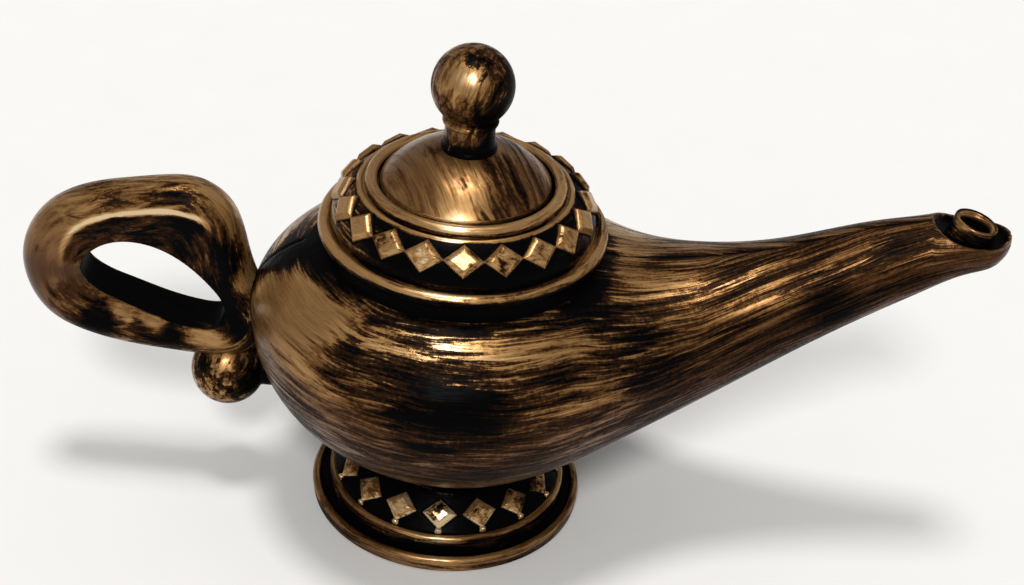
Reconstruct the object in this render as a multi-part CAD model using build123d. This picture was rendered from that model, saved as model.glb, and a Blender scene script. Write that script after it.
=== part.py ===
"""Genie oil lamp: a moulded costume prop built from separate pieces, in millimetres.

The origin is the centre of the foot's underside, +X points to the spout, +Y away
from the viewer and +Z up. Every piece is written where it sits in the closed lamp.
"""

import math
import os

from build123d import *

os.makedirs("parts", exist_ok=True)

# General
WALL = 2.2  # thickness of the moulded walls
GLUE = 0.05  # gap between pieces that are glued or screwed together
LID_PLAY = 0.3  # clearance round the lid's locating skirt

# Bowl
BOWL_R = 54.4  # radius at the widest line
BOWL_UP = 25.4  # crown above the widest line
BOWL_DOWN = 43.3  # depth below the widest line
BOWL_Z = 17.6  # lowest point above the table
LEAD = 12.0  # spacing of the round sections that lead into the spout

# Spout sections, measured from the bowl's widest line and its side:
# reach, height of the widest point, half width, top, bottom
SPOUT = (
    (-8.4, -1.4, 33.0, 20.2, -29.4),
    (7.6, 1.6, 23.0, 22.3, -20.9),
    (27.6, 10.1, 16.0, 27.1, -6.9),
    (52.6, 23.6, 11.3, 36.2, 11.0),
    (65.6, 30.2, 9.6, 39.6, 19.7),
)
NOSE_REACH = 75.6  # where the rounded end begins
NOSE_HEIGHT = 33.4  # height of the rounded end above the widest line
NOSE_LEN = 9.6
NOSE_LIFT = 1.6  # rise of the rounded end over its length
NOSE_HALF_W = 8.2
NOSE_UP = 9.0
NOSE_DOWN = 7.8
NOSE_STEPS = (0.0, 0.5, 0.8, 0.95, 0.99)

# Scooped face on top of the spout's end, and the wick nozzle standing in it:
# reach and height, set from the start of the rounded end
SCOOP_START = (NOSE_REACH - 12.7, NOSE_HEIGHT + 6.5)
SCOOP_LOW = (NOSE_REACH - 1.0, NOSE_HEIGHT + 2.6)
SCOOP_END = (NOSE_REACH + 9.8, NOSE_HEIGHT + 3.8)
DISH = 1.2  # depth of the dished floor below the scoop's edge
LIP = 1.4  # rim left round the dish
NOZZLE_TOP = (NOSE_REACH, NOSE_HEIGHT + 6.5)
NOZZLE_TILT = 14.0  # degrees, leaning toward the tip
NOZZLE_R = 5.8
NOZZLE_L = 8.6
NOZZLE_ROUND = 0.8
WICK_R = 4.2
FUNNEL = 0.7  # widening of the bore at the nozzle's mouth
FUNNEL_D = 1.2  # its depth

# Mouth collar
MOUTH_R = 30.0
COLLAR_T = 3.0
NECK_R = 35.6
NECK_H = 4.4  # lid seat above the bowl's shoulder
COLLAR_DEPTH = 8.0

# Lid
LID_R = 37.5
LID_BEAD = 1.8
SKIRT_T = 2.0
SKIRT_L = 6.0
BAND_FOOT = (34.0, 5.2)  # radius and height above the seat
BAND_MID = (31.4, 10.7)
BAND_HEAD = (27.9, 14.0)
BORDER = 0.6
CROWN_BEAD_R = 24.8
CROWN_BEAD = 1.6
CROWN_BEAD_H = 15.3
DOME_R = 21.6
DOME_BASE = 15.8
DOME_H = 10.0
LID_DIAMONDS = 20
LID_TURN = 3.2  # degrees the lid happens to be turned in its seat
LID_DIAMOND_W = 8.8
LID_DIAMOND_UP = 4.2
LID_DIAMOND_DOWN = 4.4
LID_DIAMOND_RISE = 1.4
DIAMOND_FLAT = 0.3  # share of every diamond left flat on top

# Knob and its screw
KNOB_R = 10.5
KNOB_NECK_R = 6.4
KNOB_BASE_R = 7.2
KNOB_NECK_H = 8.9
KNOB_RING = 0.8
SCREW_R = 1.5
SCREW_HEAD_R = 3.2
SCREW_HEAD_H = 2.2
SCREW_L = 14.0
SCREW_WASHER_R = 4.8
WASHER_T = 0.8

# Foot
FOOT_R = 37.3
FOOT_WALL_R = 37.0
FOOT_BEAD = 1.2
FOOT_BEAD_Z = 3.2
FOOT_RIM_W = 2.6
GROOVE_Z = 3.2
INNER_BEAD_R = 31.5
INNER_BEAD = 1.1
INNER_BEAD_Z = 6.8
CONE_FOOT = (31.0, 8.2)
CONE_HEAD = (23.0, 16.6)
STEM_R = 21.6
FOOT_DECK_Z = 14.2
FOOT_DIAMONDS = 16
FOOT_DIAMOND_W = 8.8
FOOT_DIAMOND_UP = 3.8
FOOT_DIAMOND_DOWN = 4.6
FOOT_DIAMOND_RISE = 1.5
FOOT_PEARL_R = 0.9

# Foot bolt, washer and nut
BOLT_R = 2.0
BOLT_PLAY = 0.1
BOLT_HEAD_R = 4.0
BOLT_HEAD_H = 2.6
BOLT_BOSS_R = 6.5
BOLT_BOSS_H = 2.7
BOLT_PAD_R = 9.5
BOLT_PAD_H = 1.5
BOLT_WASHER_R = 6.5
NUT_FLATS = 7.0
NUT_H = 3.2
BOLT_SPARE = 2.0  # thread showing above the nut

# Handle, measured outward from the bowl's widest line and its side
HANDLE_OUTER = (
    (-4.5, -4.0),
    (-1.2, 4.0),
    (1.4, 13.0),
    (6.0, 25.6),
    (14.0, 31.0),
    (28.0, 30.3),
    (43.0, 26.8),
    (54.3, 20.0),
    (60.3, 8.6),
    (59.2, -3.2),
    (54.2, -11.2),
    (45.0, -16.4),
    (30.6, -19.6),
    (15.6, -20.8),
    (4.0, -20.2),
    (-4.0, -13.5),
)
HANDLE_HOLE = (
    (44.8, 4.4),
    (41.4, 10.2),
    (33.6, 13.4),
    (24.6, 12.4),
    (16.6, 8.2),
    (10.2, 2.4),
    (6.6, -4.0),
    (8.4, -9.2),
    (15.6, -9.9),
    (24.6, -7.5),
    (33.6, -3.9),
    (41.2, -0.2),
)
HANDLE_W = 15.0
HANDLE_FLAT = 1.0  # flat left between the two rounded edges
HANDLE_ROUND = (HANDLE_W - HANDLE_FLAT) / 2
# Ridge on each face of the handle, from which the face slopes in to the finger gap
HANDLE_RIDGE = (
    (49.0, 6.0),
    (45.5, 17.6),
    (35.0, 23.2),
    (24.5, 25.4),
    (13.5, 24.6),
    (6.8, 18.0),
    (3.2, 6.0),
    (4.4, -8.4),
    (14.4, -11.6),
    (25.2, -9.4),
    (34.6, -5.8),
    (43.4, -2.0),
)
RIDGE_OVER = 0.1  # the slope starts this far outside the face
SLOPE_LOW = 0.4  # depth of the slope at the gap's lowest point
SLOPE_HIGH = 3.4  # and at its highest
SLOPE_PAST = 0.04  # share of the gap's size by which the slope runs on past its edge
TENON_R = 2.5
TENON_L = 5.0
TENON_HEIGHTS = (4.0, -13.5)

# Ball under the handle
BALL_R = 10.0
BALL_REACH = 6.8
BALL_DROP = 26.6  # below the bowl's widest line
BALL_PEG_R = 2.5
BALL_PEG_L = 3.0
BALL_STEM_R = 4.0

# Locating pins on the seam
PIN_R = 1.4
PIN_L = 3.6
BOSS_R = 3.3
BOSS_L = 6.0
BOSS_IN = 1.6  # boss axis below the wall's inner face
BOWL_PIN_ANGLES = (22.0, -34.0)  # degrees above and below the widest line, handle side
HANDLE_PINS = ((20.0, 21.0), (50.0, 14.0), (47.0, -8.0))

EQ_Z = BOWL_Z + BOWL_DOWN
COLLAR_R = MOUTH_R + COLLAR_T
SHOULDER_Z = EQ_Z + BOWL_UP * math.sqrt(1 - (NECK_R / BOWL_R) ** 2)
SEAT_Z = SHOULDER_Z + NECK_H
BEZIER = 0.5523  # control length of a cubic quarter ellipse
STANDING = (Align.CENTER, Align.CENTER, Align.MIN)


def quarter(a, b, corner):
    """Quarter ellipse from a to b that bulges toward the corner."""
    a = Vector(a)
    b = Vector(b)
    corner = Vector(corner)
    return Bezier(a, a + (corner - a) * BEZIER, b + (corner - b) * BEZIER, b)


def slopes(places, values):
    """Slopes at the places of the smooth cubic curve through the values."""
    gap = [b - a for a, b in zip(places, places[1:])]
    rise = [(b - a) / g for a, b, g in zip(values, values[1:], gap)]
    diag = [2.0]
    above = [1.0]
    right = [3 * rise[0]]
    for i in range(1, len(gap)):
        part = gap[i] / diag[-1]
        diag.append(2 * (gap[i - 1] + gap[i]) - part * above[-1])
        right.append(3 * (gap[i] * rise[i - 1] + gap[i - 1] * rise[i]) - part * right[-1])
        above.append(gap[i - 1])
    part = 1.0 / diag[-1]
    diag.append(2.0 - part * above[-1])
    right.append(3 * rise[-1] - part * right[-1])
    found = [right[-1] / diag[-1]]
    for i in range(len(gap) - 1, -1, -1):
        found.insert(0, (right[i] - above[i] * found[0]) / diag[i])
    return found


def sections(grow):
    """Cross-sections along X as (x, side height, half width, top, bottom)."""
    rows = []
    for step in range(-2, 3):
        x = step * LEAD
        share = math.sqrt(1 - (x / (BOWL_R + grow)) ** 2)
        top = EQ_Z + (BOWL_UP + grow) * share
        low = EQ_Z - (BOWL_DOWN + grow) * share
        rows.append((x, EQ_Z, (BOWL_R + grow) * share, top, low))
    for reach, side, half, top, low in SPOUT:
        rows.append((BOWL_R + reach, EQ_Z + side, half + grow, EQ_Z + top + grow, EQ_Z + low - grow))
    for step in NOSE_STEPS:
        share = math.sqrt(1 - step**2)
        x = BOWL_R + NOSE_REACH + step * (NOSE_LEN + grow)
        side = EQ_Z + NOSE_HEIGHT + step * NOSE_LIFT
        top = side + (NOSE_UP + grow) * share
        low = side - (NOSE_DOWN + grow) * share
        rows.append((x, side, (NOSE_HALF_W + grow) * share, top, low))
    return rows


def quarters(row, hand):
    """Control points of the upper and lower quarter curves on one side of a section."""
    x, side, half, top, low = row
    y = hand * half
    upper = [(x, 0, top), (x, y * BEZIER, top), (x, y, side + (top - side) * BEZIER), (x, y, side)]
    lower = [(x, y, side), (x, y, side + (low - side) * BEZIER), (x, y * BEZIER, low), (x, 0, low)]
    return upper, lower


def end_face(row):
    """Flat face that closes the form at one section."""
    edges = []
    for hand in (-1, 1):
        for points in quarters(row, hand):
            edges.append(Bezier(*points))
    return Face(Wire(edges))


def bowl_form(grow):
    """Solid bowl and spout in one flowing form, grown outward by a distance."""
    rows = sections(grow)
    places = [0.0]
    for a, b in zip(rows, rows[1:]):
        places.append(places[-1] + math.dist(a, b))
    rates = list(zip(*[slopes(places, column) for column in zip(*rows)]))
    first = 2
    faces = [end_face(rows[first]), end_face(rows[-1])]
    for i in range(first, len(rows) - 1):
        third = (places[i + 1] - places[i]) / 3
        after = tuple(p + third * q for p, q in zip(rows[i], rates[i]))
        before = tuple(p - third * q for p, q in zip(rows[i + 1], rates[i + 1]))
        for hand in (-1, 1):
            grid = [quarters(row, hand) for row in (rows[i], after, before, rows[i + 1])]
            faces.append(Face.make_bezier_surface([pair[0] for pair in grid]))
            faces.append(Face.make_bezier_surface([pair[1] for pair in grid]))
    spout = Solid(Shell(faces))
    side = (-BOWL_R - grow, 0, EQ_Z)
    top = (0, 0, EQ_Z + BOWL_UP + grow)
    low = (0, 0, EQ_Z - BOWL_DOWN - grow)
    upper = quarter(top, side, (side[0], 0, top[2]))
    lower = quarter(side, low, (side[0], 0, low[2]))
    half = Face(Wire([upper, lower, Line(low, top)]))
    return Part() + revolve(half, Axis.Z, 90) + revolve(half, Axis.Z, -90) + spout


def turned(*edges):
    """Solid of revolution about Z from edges drawn as (radius, height)."""
    return revolve(Plane.XZ * make_face(Curve() + list(edges)), Axis.Z)


def post(radius, bottom, height):
    """Upright cylinder on the lamp's axis."""
    return Pos(0, 0, bottom) * Cylinder(radius, height, align=STANDING)


def tube(outer, inner, bottom, height):
    """Upright tube on the lamp's axis."""
    return post(outer, bottom, height) - post(inner, bottom, height)


def seam_post(radius, point, length):
    """Cylinder along Y, centred on the seam at a point (x, z)."""
    place = Plane((point[0], 0, point[1]), x_dir=(1, 0, 0), z_dir=(0, 1, 0))
    return place * Cylinder(radius, length)


def handle_point(reach, height):
    """Point on the seam plane, measured outward from the bowl on the handle side."""
    return (-BOWL_R - reach, 0, EQ_Z + height)


def gap_slope():
    """Room behind the sloping rear face between the handle's ridge and its finger gap."""
    reaches = [reach for reach, _ in HANDLE_HOLE]
    heights = [height for _, height in HANDLE_HOLE]
    low = min(heights)
    high = max(heights)
    middle = Vector(handle_point(sum(reaches) / len(reaches), sum(heights) / len(heights)))
    ridge = []
    edge = []
    for start, end in zip(HANDLE_RIDGE, HANDLE_HOLE):
        sink = SLOPE_LOW + (SLOPE_HIGH - SLOPE_LOW) * (end[1] - low) / (high - low)
        inner = Vector(handle_point(*end))
        inner = inner + (middle - inner) * SLOPE_PAST
        ridge.append(Vector(handle_point(*start)) + Vector(0, HANDLE_W / 2 + RIDGE_OVER, 0))
        edge.append(inner + Vector(0, HANDLE_W / 2 - sink, 0))
    wires = [Wire([Spline(ridge, periodic=True)]), Wire([Spline(edge, periodic=True)])]
    return Solid.make_loft(wires, ruled=True)


def pinned_halves(whole, points):
    """Front and rear halves of a seamed moulding, with pins in front and sockets behind."""
    front = split(whole, Plane.XZ, Keep.TOP)
    rear = split(whole, Plane.XZ, Keep.BOTTOM)
    for point in points:
        front += seam_post(PIN_R, point, 2 * PIN_L)
        rear -= seam_post(PIN_R + GLUE, point, 2 * PIN_L + 2 * GLUE)
    return front, rear


def diamond(place, half_w, up, down, rise, sunk):
    """Raised diamond with a small flat top, standing on a tangent plane."""
    corners = ((half_w, 0), (0, up), (-half_w, 0), (0, -down))
    points = []
    for x, y in corners:
        points.append(place.from_local_coords((x, y, -sunk)))
        points.append(place.from_local_coords((x, y, 0)))
        points.append(place.from_local_coords((x * DIAMOND_FLAT, y * DIAMOND_FLAT, rise)))
    return ConvexPolyhedron(points)


def around(piece, count, start):
    """Copies of a piece spaced evenly round the lamp's axis."""
    return [Rot(0, 0, start + 360 * i / count) * piece for i in range(count)]


def slope_plane(foot, head, share):
    """Plane lying on a cone, given by two (radius, height) ends, at a share of its slope."""
    run = head[0] - foot[0]
    rise = head[1] - foot[1]
    origin = (foot[0] + share * run, 0, foot[1] + share * rise)
    return Plane(origin, x_dir=(0, 1, 0), z_dir=(rise, 0, -run))


def cross_recess(radius, bottom, depth):
    """Cross slot for a driver, cut upward from the underside of a head."""
    arm = Pos(0, 0, bottom) * Box(1.2 * radius, 0.3 * radius, depth, align=STANDING)
    return arm + Rot(0, 0, 90) * arm


def spout_point(reach, height):
    """Point on the seam plane, measured outward from the bowl on the spout side."""
    return (BOWL_R + reach, 0, EQ_Z + height)


def above_scoop(drop):
    """Block above the scooped face of the spout, lowered by a distance."""
    start = Vector(spout_point(*SCOOP_START))
    low = Vector(spout_point(*SCOOP_LOW))
    end = Vector(spout_point(*SCOOP_END))
    edge = ThreePointArc(start, low, end)
    past = end + Vector(NOSE_LEN, 0, 0)
    lift = Vector(0, 0, BOWL_UP)
    rest = Polyline(end, past, past + lift, start + lift, start)
    block = extrude(make_face(Curve() + [edge, rest]), BOWL_UP, dir=(0, 1, 0), both=True)
    return Pos(0, 0, -drop) * block


lean = math.radians(NOZZLE_TILT)
nozzle_place = Plane(
    spout_point(*NOZZLE_TOP),
    x_dir=(math.cos(lean), 0, -math.sin(lean)),
    z_dir=(math.sin(lean), 0, math.cos(lean)),
)

# Bowl and spout, moulded as two shells joined on the seam
outer = bowl_form(0)
nested = bowl_form(GLUE)
shell = outer - above_scoop(0)
shell -= bowl_form(-LIP) & above_scoop(DISH)
shell -= bowl_form(-WALL) - above_scoop(DISH + WALL)

boss_points = []
for angle in BOWL_PIN_ANGLES:
    inset = WALL + BOSS_IN
    depth = BOWL_UP if angle > 0 else BOWL_DOWN
    x = -(BOWL_R - inset) * math.cos(math.radians(angle))
    boss_points.append((x, EQ_Z + (depth - inset) * math.sin(math.radians(angle))))
boss_points.append((BOWL_R + SPOUT[0][0], EQ_Z + SPOUT[0][4] + WALL + BOSS_IN))
boss_points.append((BOWL_R + SPOUT[1][0], EQ_Z + SPOUT[1][3] - WALL - BOSS_IN))
boss_points.append((BOWL_R + SPOUT[2][0], EQ_Z + SPOUT[2][4] + WALL + BOSS_IN))
inside = bowl_form(-WALL / 2)
for point in boss_points:
    shell += seam_post(BOSS_R, point, 2 * BOSS_L) & inside
pad_z = BOWL_Z + WALL + BOLT_PAD_H
shell += post(BOLT_PAD_R, BOWL_Z + WALL / 2, pad_z - BOWL_Z - WALL / 2) & inside
shell -= post(BOLT_R + BOLT_PLAY, BOWL_Z - 1, pad_z - BOWL_Z + 2)
shell -= post(COLLAR_R + GLUE, EQ_Z + BOWL_UP / 3, BOWL_UP)
shell -= nozzle_place * Cylinder(NOZZLE_R + GLUE, 2 * NOZZLE_L)
tenon_place = Plane((-BOWL_R, 0, EQ_Z), x_dir=(0, 1, 0), z_dir=(-1, 0, 0))
for height in TENON_HEIGHTS:
    shell -= Pos(0, 0, height) * (tenon_place * Cylinder(TENON_R + GLUE, 4 * TENON_L))
body_front_shell, body_rear_shell = pinned_halves(shell, boss_points)

# Mouth collar, seated on the shoulder with a spigot through the bowl's opening
neck = tube(NECK_R, MOUTH_R, SHOULDER_Z - WALL / 2, SEAT_Z - SHOULDER_Z + WALL / 2) - nested
mouth_collar = neck + tube(COLLAR_R, MOUTH_R, SEAT_Z - COLLAR_DEPTH, COLLAR_DEPTH)

# Wick nozzle, a plain tube through the dished floor
nozzle_bend = CenterArc((NOZZLE_R - NOZZLE_ROUND, -NOZZLE_ROUND), NOZZLE_ROUND, 0, 90)
nozzle = turned(
    Polyline(nozzle_bend @ 1, (WICK_R + FUNNEL, 0), (WICK_R, -FUNNEL_D), (WICK_R, -NOZZLE_L)),
    Polyline((WICK_R, -NOZZLE_L), (NOZZLE_R, -NOZZLE_L), nozzle_bend @ 0),
    nozzle_bend,
)
wick_nozzle = nozzle_place * nozzle

# Loop handle, moulded as two halves on the same seam
rim = Spline([handle_point(*point) for point in HANDLE_OUTER], periodic=True)
gap = Spline([handle_point(*point) for point in HANDLE_HOLE], periodic=True)
handle = extrude(Face(Wire([rim])), HANDLE_W / 2, dir=(0, 1, 0), both=True)
side_edges = [edge for edge in handle.edges() if abs(edge.center().Y) > HANDLE_W / 4]
handle = fillet(side_edges, HANDLE_ROUND)
handle -= extrude(Face(Wire([gap])), HANDLE_W, dir=(0, 1, 0), both=True)
sloped = split(handle, Plane.XZ, Keep.BOTTOM) - gap_slope()
handle = sloped + mirror(sloped, about=Plane.XZ)
handle -= nested
for height in TENON_HEIGHTS:
    handle += Pos(0, 0, height) * (tenon_place * Cylinder(TENON_R, 2 * TENON_L))
ball_x, _, ball_z = handle_point(BALL_REACH, -BALL_DROP)
handle -= Pos(ball_x, 0, ball_z) * Sphere(BALL_R + GLUE)
handle -= Pos(ball_x, 0, 0) * post(BALL_PEG_R + GLUE, ball_z, BALL_R + BALL_PEG_L + GLUE)
pin_points = []
for reach, height in HANDLE_PINS:
    pin_points.append((-BOWL_R - reach, EQ_Z + height))
handle_front_half, handle_rear_half = pinned_halves(handle, pin_points)

# Ball under the handle, with a peg into the lower arm and a stem to the bowl
stem_place = Plane((ball_x, 0, ball_z), x_dir=(0, 1, 0), z_dir=(1, 0, 0))
ball_stem = stem_place * Cylinder(BALL_STEM_R, BOWL_R / 2, align=STANDING) - nested
handle_ball = Pos(ball_x, 0, ball_z) * Sphere(BALL_R) + ball_stem
handle_ball += Pos(ball_x, 0, 0) * post(BALL_PEG_R, ball_z, BALL_R + BALL_PEG_L)

# Foot: beaded rim, diamond cone and a cup that fits the bowl
rim_arc = CenterArc((FOOT_R - FOOT_BEAD, FOOT_BEAD_Z), FOOT_BEAD, -35, 205)
bead_arc = CenterArc((INNER_BEAD_R, INNER_BEAD_Z), INNER_BEAD, -50, 230)
groove_out = (rim_arc @ 1).X - 0.2
groove_in = (bead_arc @ 0).X + 0.4
rest_r = FOOT_WALL_R - 0.5
hollow_r = rest_r - FOOT_RIM_W
deck_r = CONE_HEAD[0] - WALL
foot_top = BOWL_Z + 6
boss_z = FOOT_DECK_Z - BOLT_BOSS_H
bolt_hole_r = BOLT_R + BOLT_PLAY
hollow_top = (CONE_FOOT[0] - 1.4, CONE_FOOT[1] - 4.2)
foot = turned(
    Polyline((rest_r, 0), (FOOT_WALL_R, 0.5), (FOOT_WALL_R, (rim_arc @ 0).Y), rim_arc @ 0),
    rim_arc,
    Polyline(rim_arc @ 1, (groove_out, GROOVE_Z), (groove_in, GROOVE_Z), bead_arc @ 0),
    bead_arc,
    Polyline(bead_arc @ 1, CONE_FOOT, CONE_HEAD, (STEM_R, CONE_HEAD[1] + 0.7), (STEM_R, foot_top)),
    Polyline((STEM_R, foot_top), (bolt_hole_r, foot_top), (bolt_hole_r, boss_z)),
    Polyline((bolt_hole_r, boss_z), (BOLT_BOSS_R, boss_z), (BOLT_BOSS_R, FOOT_DECK_Z)),
    Polyline((BOLT_BOSS_R, FOOT_DECK_Z), (deck_r, FOOT_DECK_Z), hollow_top),
    Polyline(hollow_top, (hollow_r, GROOVE_Z - WALL), (hollow_r, 0), (rest_r, 0)),
)
cone_place = slope_plane(CONE_FOOT, CONE_HEAD, 0.46)
kite = diamond(cone_place, FOOT_DIAMOND_W / 2, FOOT_DIAMOND_UP, FOOT_DIAMOND_DOWN, FOOT_DIAMOND_RISE, 1.0)
pearl = Pos(cone_place.from_local_coords((0, -FOOT_DIAMOND_DOWN, 0.2))) * Sphere(FOOT_PEARL_R)
foot += around(kite + pearl, FOOT_DIAMONDS, -90)
foot -= nested

# Bolt, washer and nut that hold the foot to the bowl
bolt_top = pad_z + WASHER_T + NUT_H + BOLT_SPARE
foot_bolt = post(BOLT_R, boss_z, bolt_top - boss_z)
bolt_head = post(BOLT_HEAD_R, boss_z - BOLT_HEAD_H, BOLT_HEAD_H)
foot_bolt += fillet(bolt_head.edges().group_by(Axis.Z)[0], BOLT_HEAD_H / 2)
foot_bolt -= cross_recess(BOLT_HEAD_R, boss_z - BOLT_HEAD_H, BOLT_HEAD_H / 2)
foot_washer = tube(BOLT_WASHER_R, bolt_hole_r, pad_z, WASHER_T)
hexagon = RegularPolygon(NUT_FLATS / 2, 6, major_radius=False)
foot_nut = Pos(0, 0, pad_z + WASHER_T) * extrude(hexagon, NUT_H)
foot_nut -= post(BOLT_R + GLUE, pad_z, bolt_top)

# Lid, drawn as (radius, height above its seat)
skirt_r = MOUTH_R - LID_PLAY
bore_r = skirt_r - SKIRT_T
screw_hole_r = SCREW_R + GLUE
lid_bead = CenterArc((LID_R - LID_BEAD, LID_BEAD), LID_BEAD, -90, 240)
border = CenterArc((BAND_HEAD[0] - BORDER, BAND_HEAD[1]), BORDER, 0, 180)
crown = CenterArc((CROWN_BEAD_R, CROWN_BEAD_H), CROWN_BEAD, -50, 280)
cap_r = (DOME_R**2 + DOME_H**2) / (2 * DOME_H)
cap_h = DOME_BASE + DOME_H - cap_r
cap_start = math.degrees(math.acos(DOME_R / cap_r))
cap_end = math.degrees(math.acos(KNOB_BASE_R / cap_r))
vault_start = math.degrees(math.acos((DOME_R - WALL) / cap_r))
dome = CenterArc((0, cap_h), cap_r, cap_start, cap_end - cap_start)
vault = CenterArc((0, cap_h - WALL), cap_r, vault_start, cap_end - vault_start)
pad_h = (dome @ 1).Y
under_h = (vault @ 1).Y
band_in = ThreePointArc(
    (BAND_FOOT[0] - 3.0, BAND_FOOT[1] - 0.6),
    (BAND_MID[0] - 2.2, BAND_MID[1] - 1.6),
    (BAND_HEAD[0] - 1.9, BAND_HEAD[1] - 2.0),
)
lid_shell = turned(
    Line((skirt_r, 0), lid_bead @ 0),
    lid_bead,
    Line(lid_bead @ 1, BAND_FOOT),
    ThreePointArc(BAND_FOOT, BAND_MID, BAND_HEAD),
    border,
    Polyline(border @ 1, (CROWN_BEAD_R + 1.0, BAND_HEAD[1] - 0.5), crown @ 0),
    crown,
    Polyline(crown @ 1, (DOME_R + 0.4, DOME_BASE - 1.4), dome @ 0),
    dome,
    Polyline(dome @ 1, (screw_hole_r, pad_h), (screw_hole_r, under_h), vault @ 1),
    vault,
    Polyline(vault @ 0, (DOME_R - WALL, DOME_BASE - WALL - 0.6), band_in @ 1),
    band_in,
    Polyline(band_in @ 0, (bore_r, 2.0), (bore_r, -SKIRT_L), (skirt_r, -SKIRT_L), (skirt_r, 0)),
)
band_place = slope_plane(BAND_FOOT, BAND_HEAD, 0.5)
band_place.origin = Vector(BAND_MID[0], 0, BAND_MID[1])
stud = diamond(band_place, LID_DIAMOND_W / 2, LID_DIAMOND_UP, LID_DIAMOND_DOWN, LID_DIAMOND_RISE, 1.4)
lid_shell += around(stud, LID_DIAMONDS, LID_TURN - 90)
lid_shell = Pos(0, 0, SEAT_Z) * lid_shell

# Knob, its washer and the screw from inside the lid
ball_h = KNOB_NECK_H + math.sqrt(KNOB_R**2 - KNOB_NECK_R**2)
ball_angle = math.degrees(math.acos(KNOB_NECK_R / KNOB_R))
ring = CenterArc((KNOB_NECK_R, KNOB_NECK_H - 1.5 * KNOB_RING), KNOB_RING, -90, 180)
knob_ball = CenterArc((0, ball_h), KNOB_R, -ball_angle, 90 + ball_angle)
base_h = 0.8
flare = KNOB_BASE_R - KNOB_NECK_R
knob = turned(
    Polyline((0, 0), (KNOB_BASE_R, 0), (KNOB_BASE_R, base_h)),
    quarter((KNOB_BASE_R, base_h), (KNOB_NECK_R, base_h + 2 * flare), (KNOB_NECK_R, base_h)),
    Line((KNOB_NECK_R, base_h + 2 * flare), ring @ 0),
    ring,
    Line(ring @ 1, knob_ball @ 0),
    knob_ball,
    Line(knob_ball @ 1, (0, 0)),
)
knob -= post(screw_hole_r, 0, SCREW_L)
knob = Pos(0, 0, SEAT_Z + pad_h) * knob
head_z = SEAT_Z + under_h - WASHER_T
knob_washer = tube(SCREW_WASHER_R, screw_hole_r, head_z, WASHER_T)
screw_head = post(SCREW_HEAD_R, head_z - SCREW_HEAD_H, SCREW_HEAD_H)
knob_screw = fillet(screw_head.edges().group_by(Axis.Z)[0], SCREW_HEAD_H / 2)
knob_screw += post(SCREW_R, head_z, SCREW_L)
knob_screw -= cross_recess(SCREW_HEAD_R, head_z - SCREW_HEAD_H, SCREW_HEAD_H / 2)

PIECES = {
    "body_front_shell": body_front_shell,
    "body_rear_shell": body_rear_shell,
    "mouth_collar": mouth_collar,
    "wick_nozzle": wick_nozzle,
    "handle_front_half": handle_front_half,
    "handle_rear_half": handle_rear_half,
    "handle_ball": handle_ball,
    "foot": foot,
    "foot_bolt": foot_bolt,
    "foot_washer": foot_washer,
    "foot_nut": foot_nut,
    "lid_shell": lid_shell,
    "knob": knob,
    "knob_washer": knob_washer,
    "knob_screw": knob_screw,
}
for name, piece in PIECES.items():
    export_step(piece.solid(), f"parts/{name}.step")
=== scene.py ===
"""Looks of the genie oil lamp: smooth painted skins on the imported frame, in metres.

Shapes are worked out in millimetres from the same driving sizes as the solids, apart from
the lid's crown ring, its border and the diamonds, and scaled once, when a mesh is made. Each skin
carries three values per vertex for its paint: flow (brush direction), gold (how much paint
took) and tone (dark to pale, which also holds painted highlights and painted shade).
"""

import math
from collections import namedtuple

import bmesh
import bpy
import numpy as np
from mathutils import Matrix, Vector


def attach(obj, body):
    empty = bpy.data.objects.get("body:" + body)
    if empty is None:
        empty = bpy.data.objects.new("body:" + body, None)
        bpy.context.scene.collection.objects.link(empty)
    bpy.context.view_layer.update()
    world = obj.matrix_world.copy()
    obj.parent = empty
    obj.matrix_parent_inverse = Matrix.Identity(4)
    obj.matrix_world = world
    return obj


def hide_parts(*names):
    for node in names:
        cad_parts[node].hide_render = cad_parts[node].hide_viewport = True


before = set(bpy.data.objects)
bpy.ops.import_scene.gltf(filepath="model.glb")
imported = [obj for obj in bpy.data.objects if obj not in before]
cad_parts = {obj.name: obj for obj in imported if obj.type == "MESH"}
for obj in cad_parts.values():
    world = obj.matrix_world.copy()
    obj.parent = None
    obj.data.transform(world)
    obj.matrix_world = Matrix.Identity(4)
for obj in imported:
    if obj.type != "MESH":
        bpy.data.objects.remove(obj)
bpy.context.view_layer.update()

MM = 0.001
BRUSH = 11.0  # length of a brush mark for each millimetre of its width
BARE = -3.0  # gold value of plastic that no brush has reached
TINY = 1e-9

# Sizes of the solids, in millimetres
WALL = 2.2
GLUE = 0.05
BOWL_R = 54.4
BOWL_UP = 25.4
BOWL_DOWN = 43.3
BOWL_Z = 17.6
EQ_Z = BOWL_Z + BOWL_DOWN
LEAD = 12.0  # between the bowl's own sections
LEADS = 2  # of them on each side of the axis
BEZIER = 0.5523
SPOUT = (
    (-8.4, -1.4, 33.0, 20.2, -29.4),
    (7.6, 1.6, 23.0, 22.3, -20.9),
    (27.6, 10.1, 16.0, 27.1, -6.9),
    (52.6, 23.6, 11.3, 36.2, 11.0),
    (65.6, 30.2, 9.6, 39.6, 19.7),
)
NOSE_REACH = 75.6
NOSE_HEIGHT = 33.4
NOSE_LEN = 9.6
NOSE_LIFT = 1.6
NOSE_HALF_W = 8.2
NOSE_UP = 9.0
NOSE_DOWN = 7.8
NOSE_STEPS = (0.0, 0.5, 0.8, 0.95, 0.99)
SCOOP = ((-12.7, 6.5), (-1.0, 2.6), (9.8, 3.8))  # from the rounded end's start
SCOOP_ROOM = 16.0  # the scoop starts within this of the rounded end
DISH = 1.2
LIP = 1.4
NOZZLE_RISE = 6.5
NOZZLE_TILT = math.radians(14.0)
NOZZLE_R = 5.8
NOZZLE_L = 8.6
WICK_R = 4.2
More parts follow.
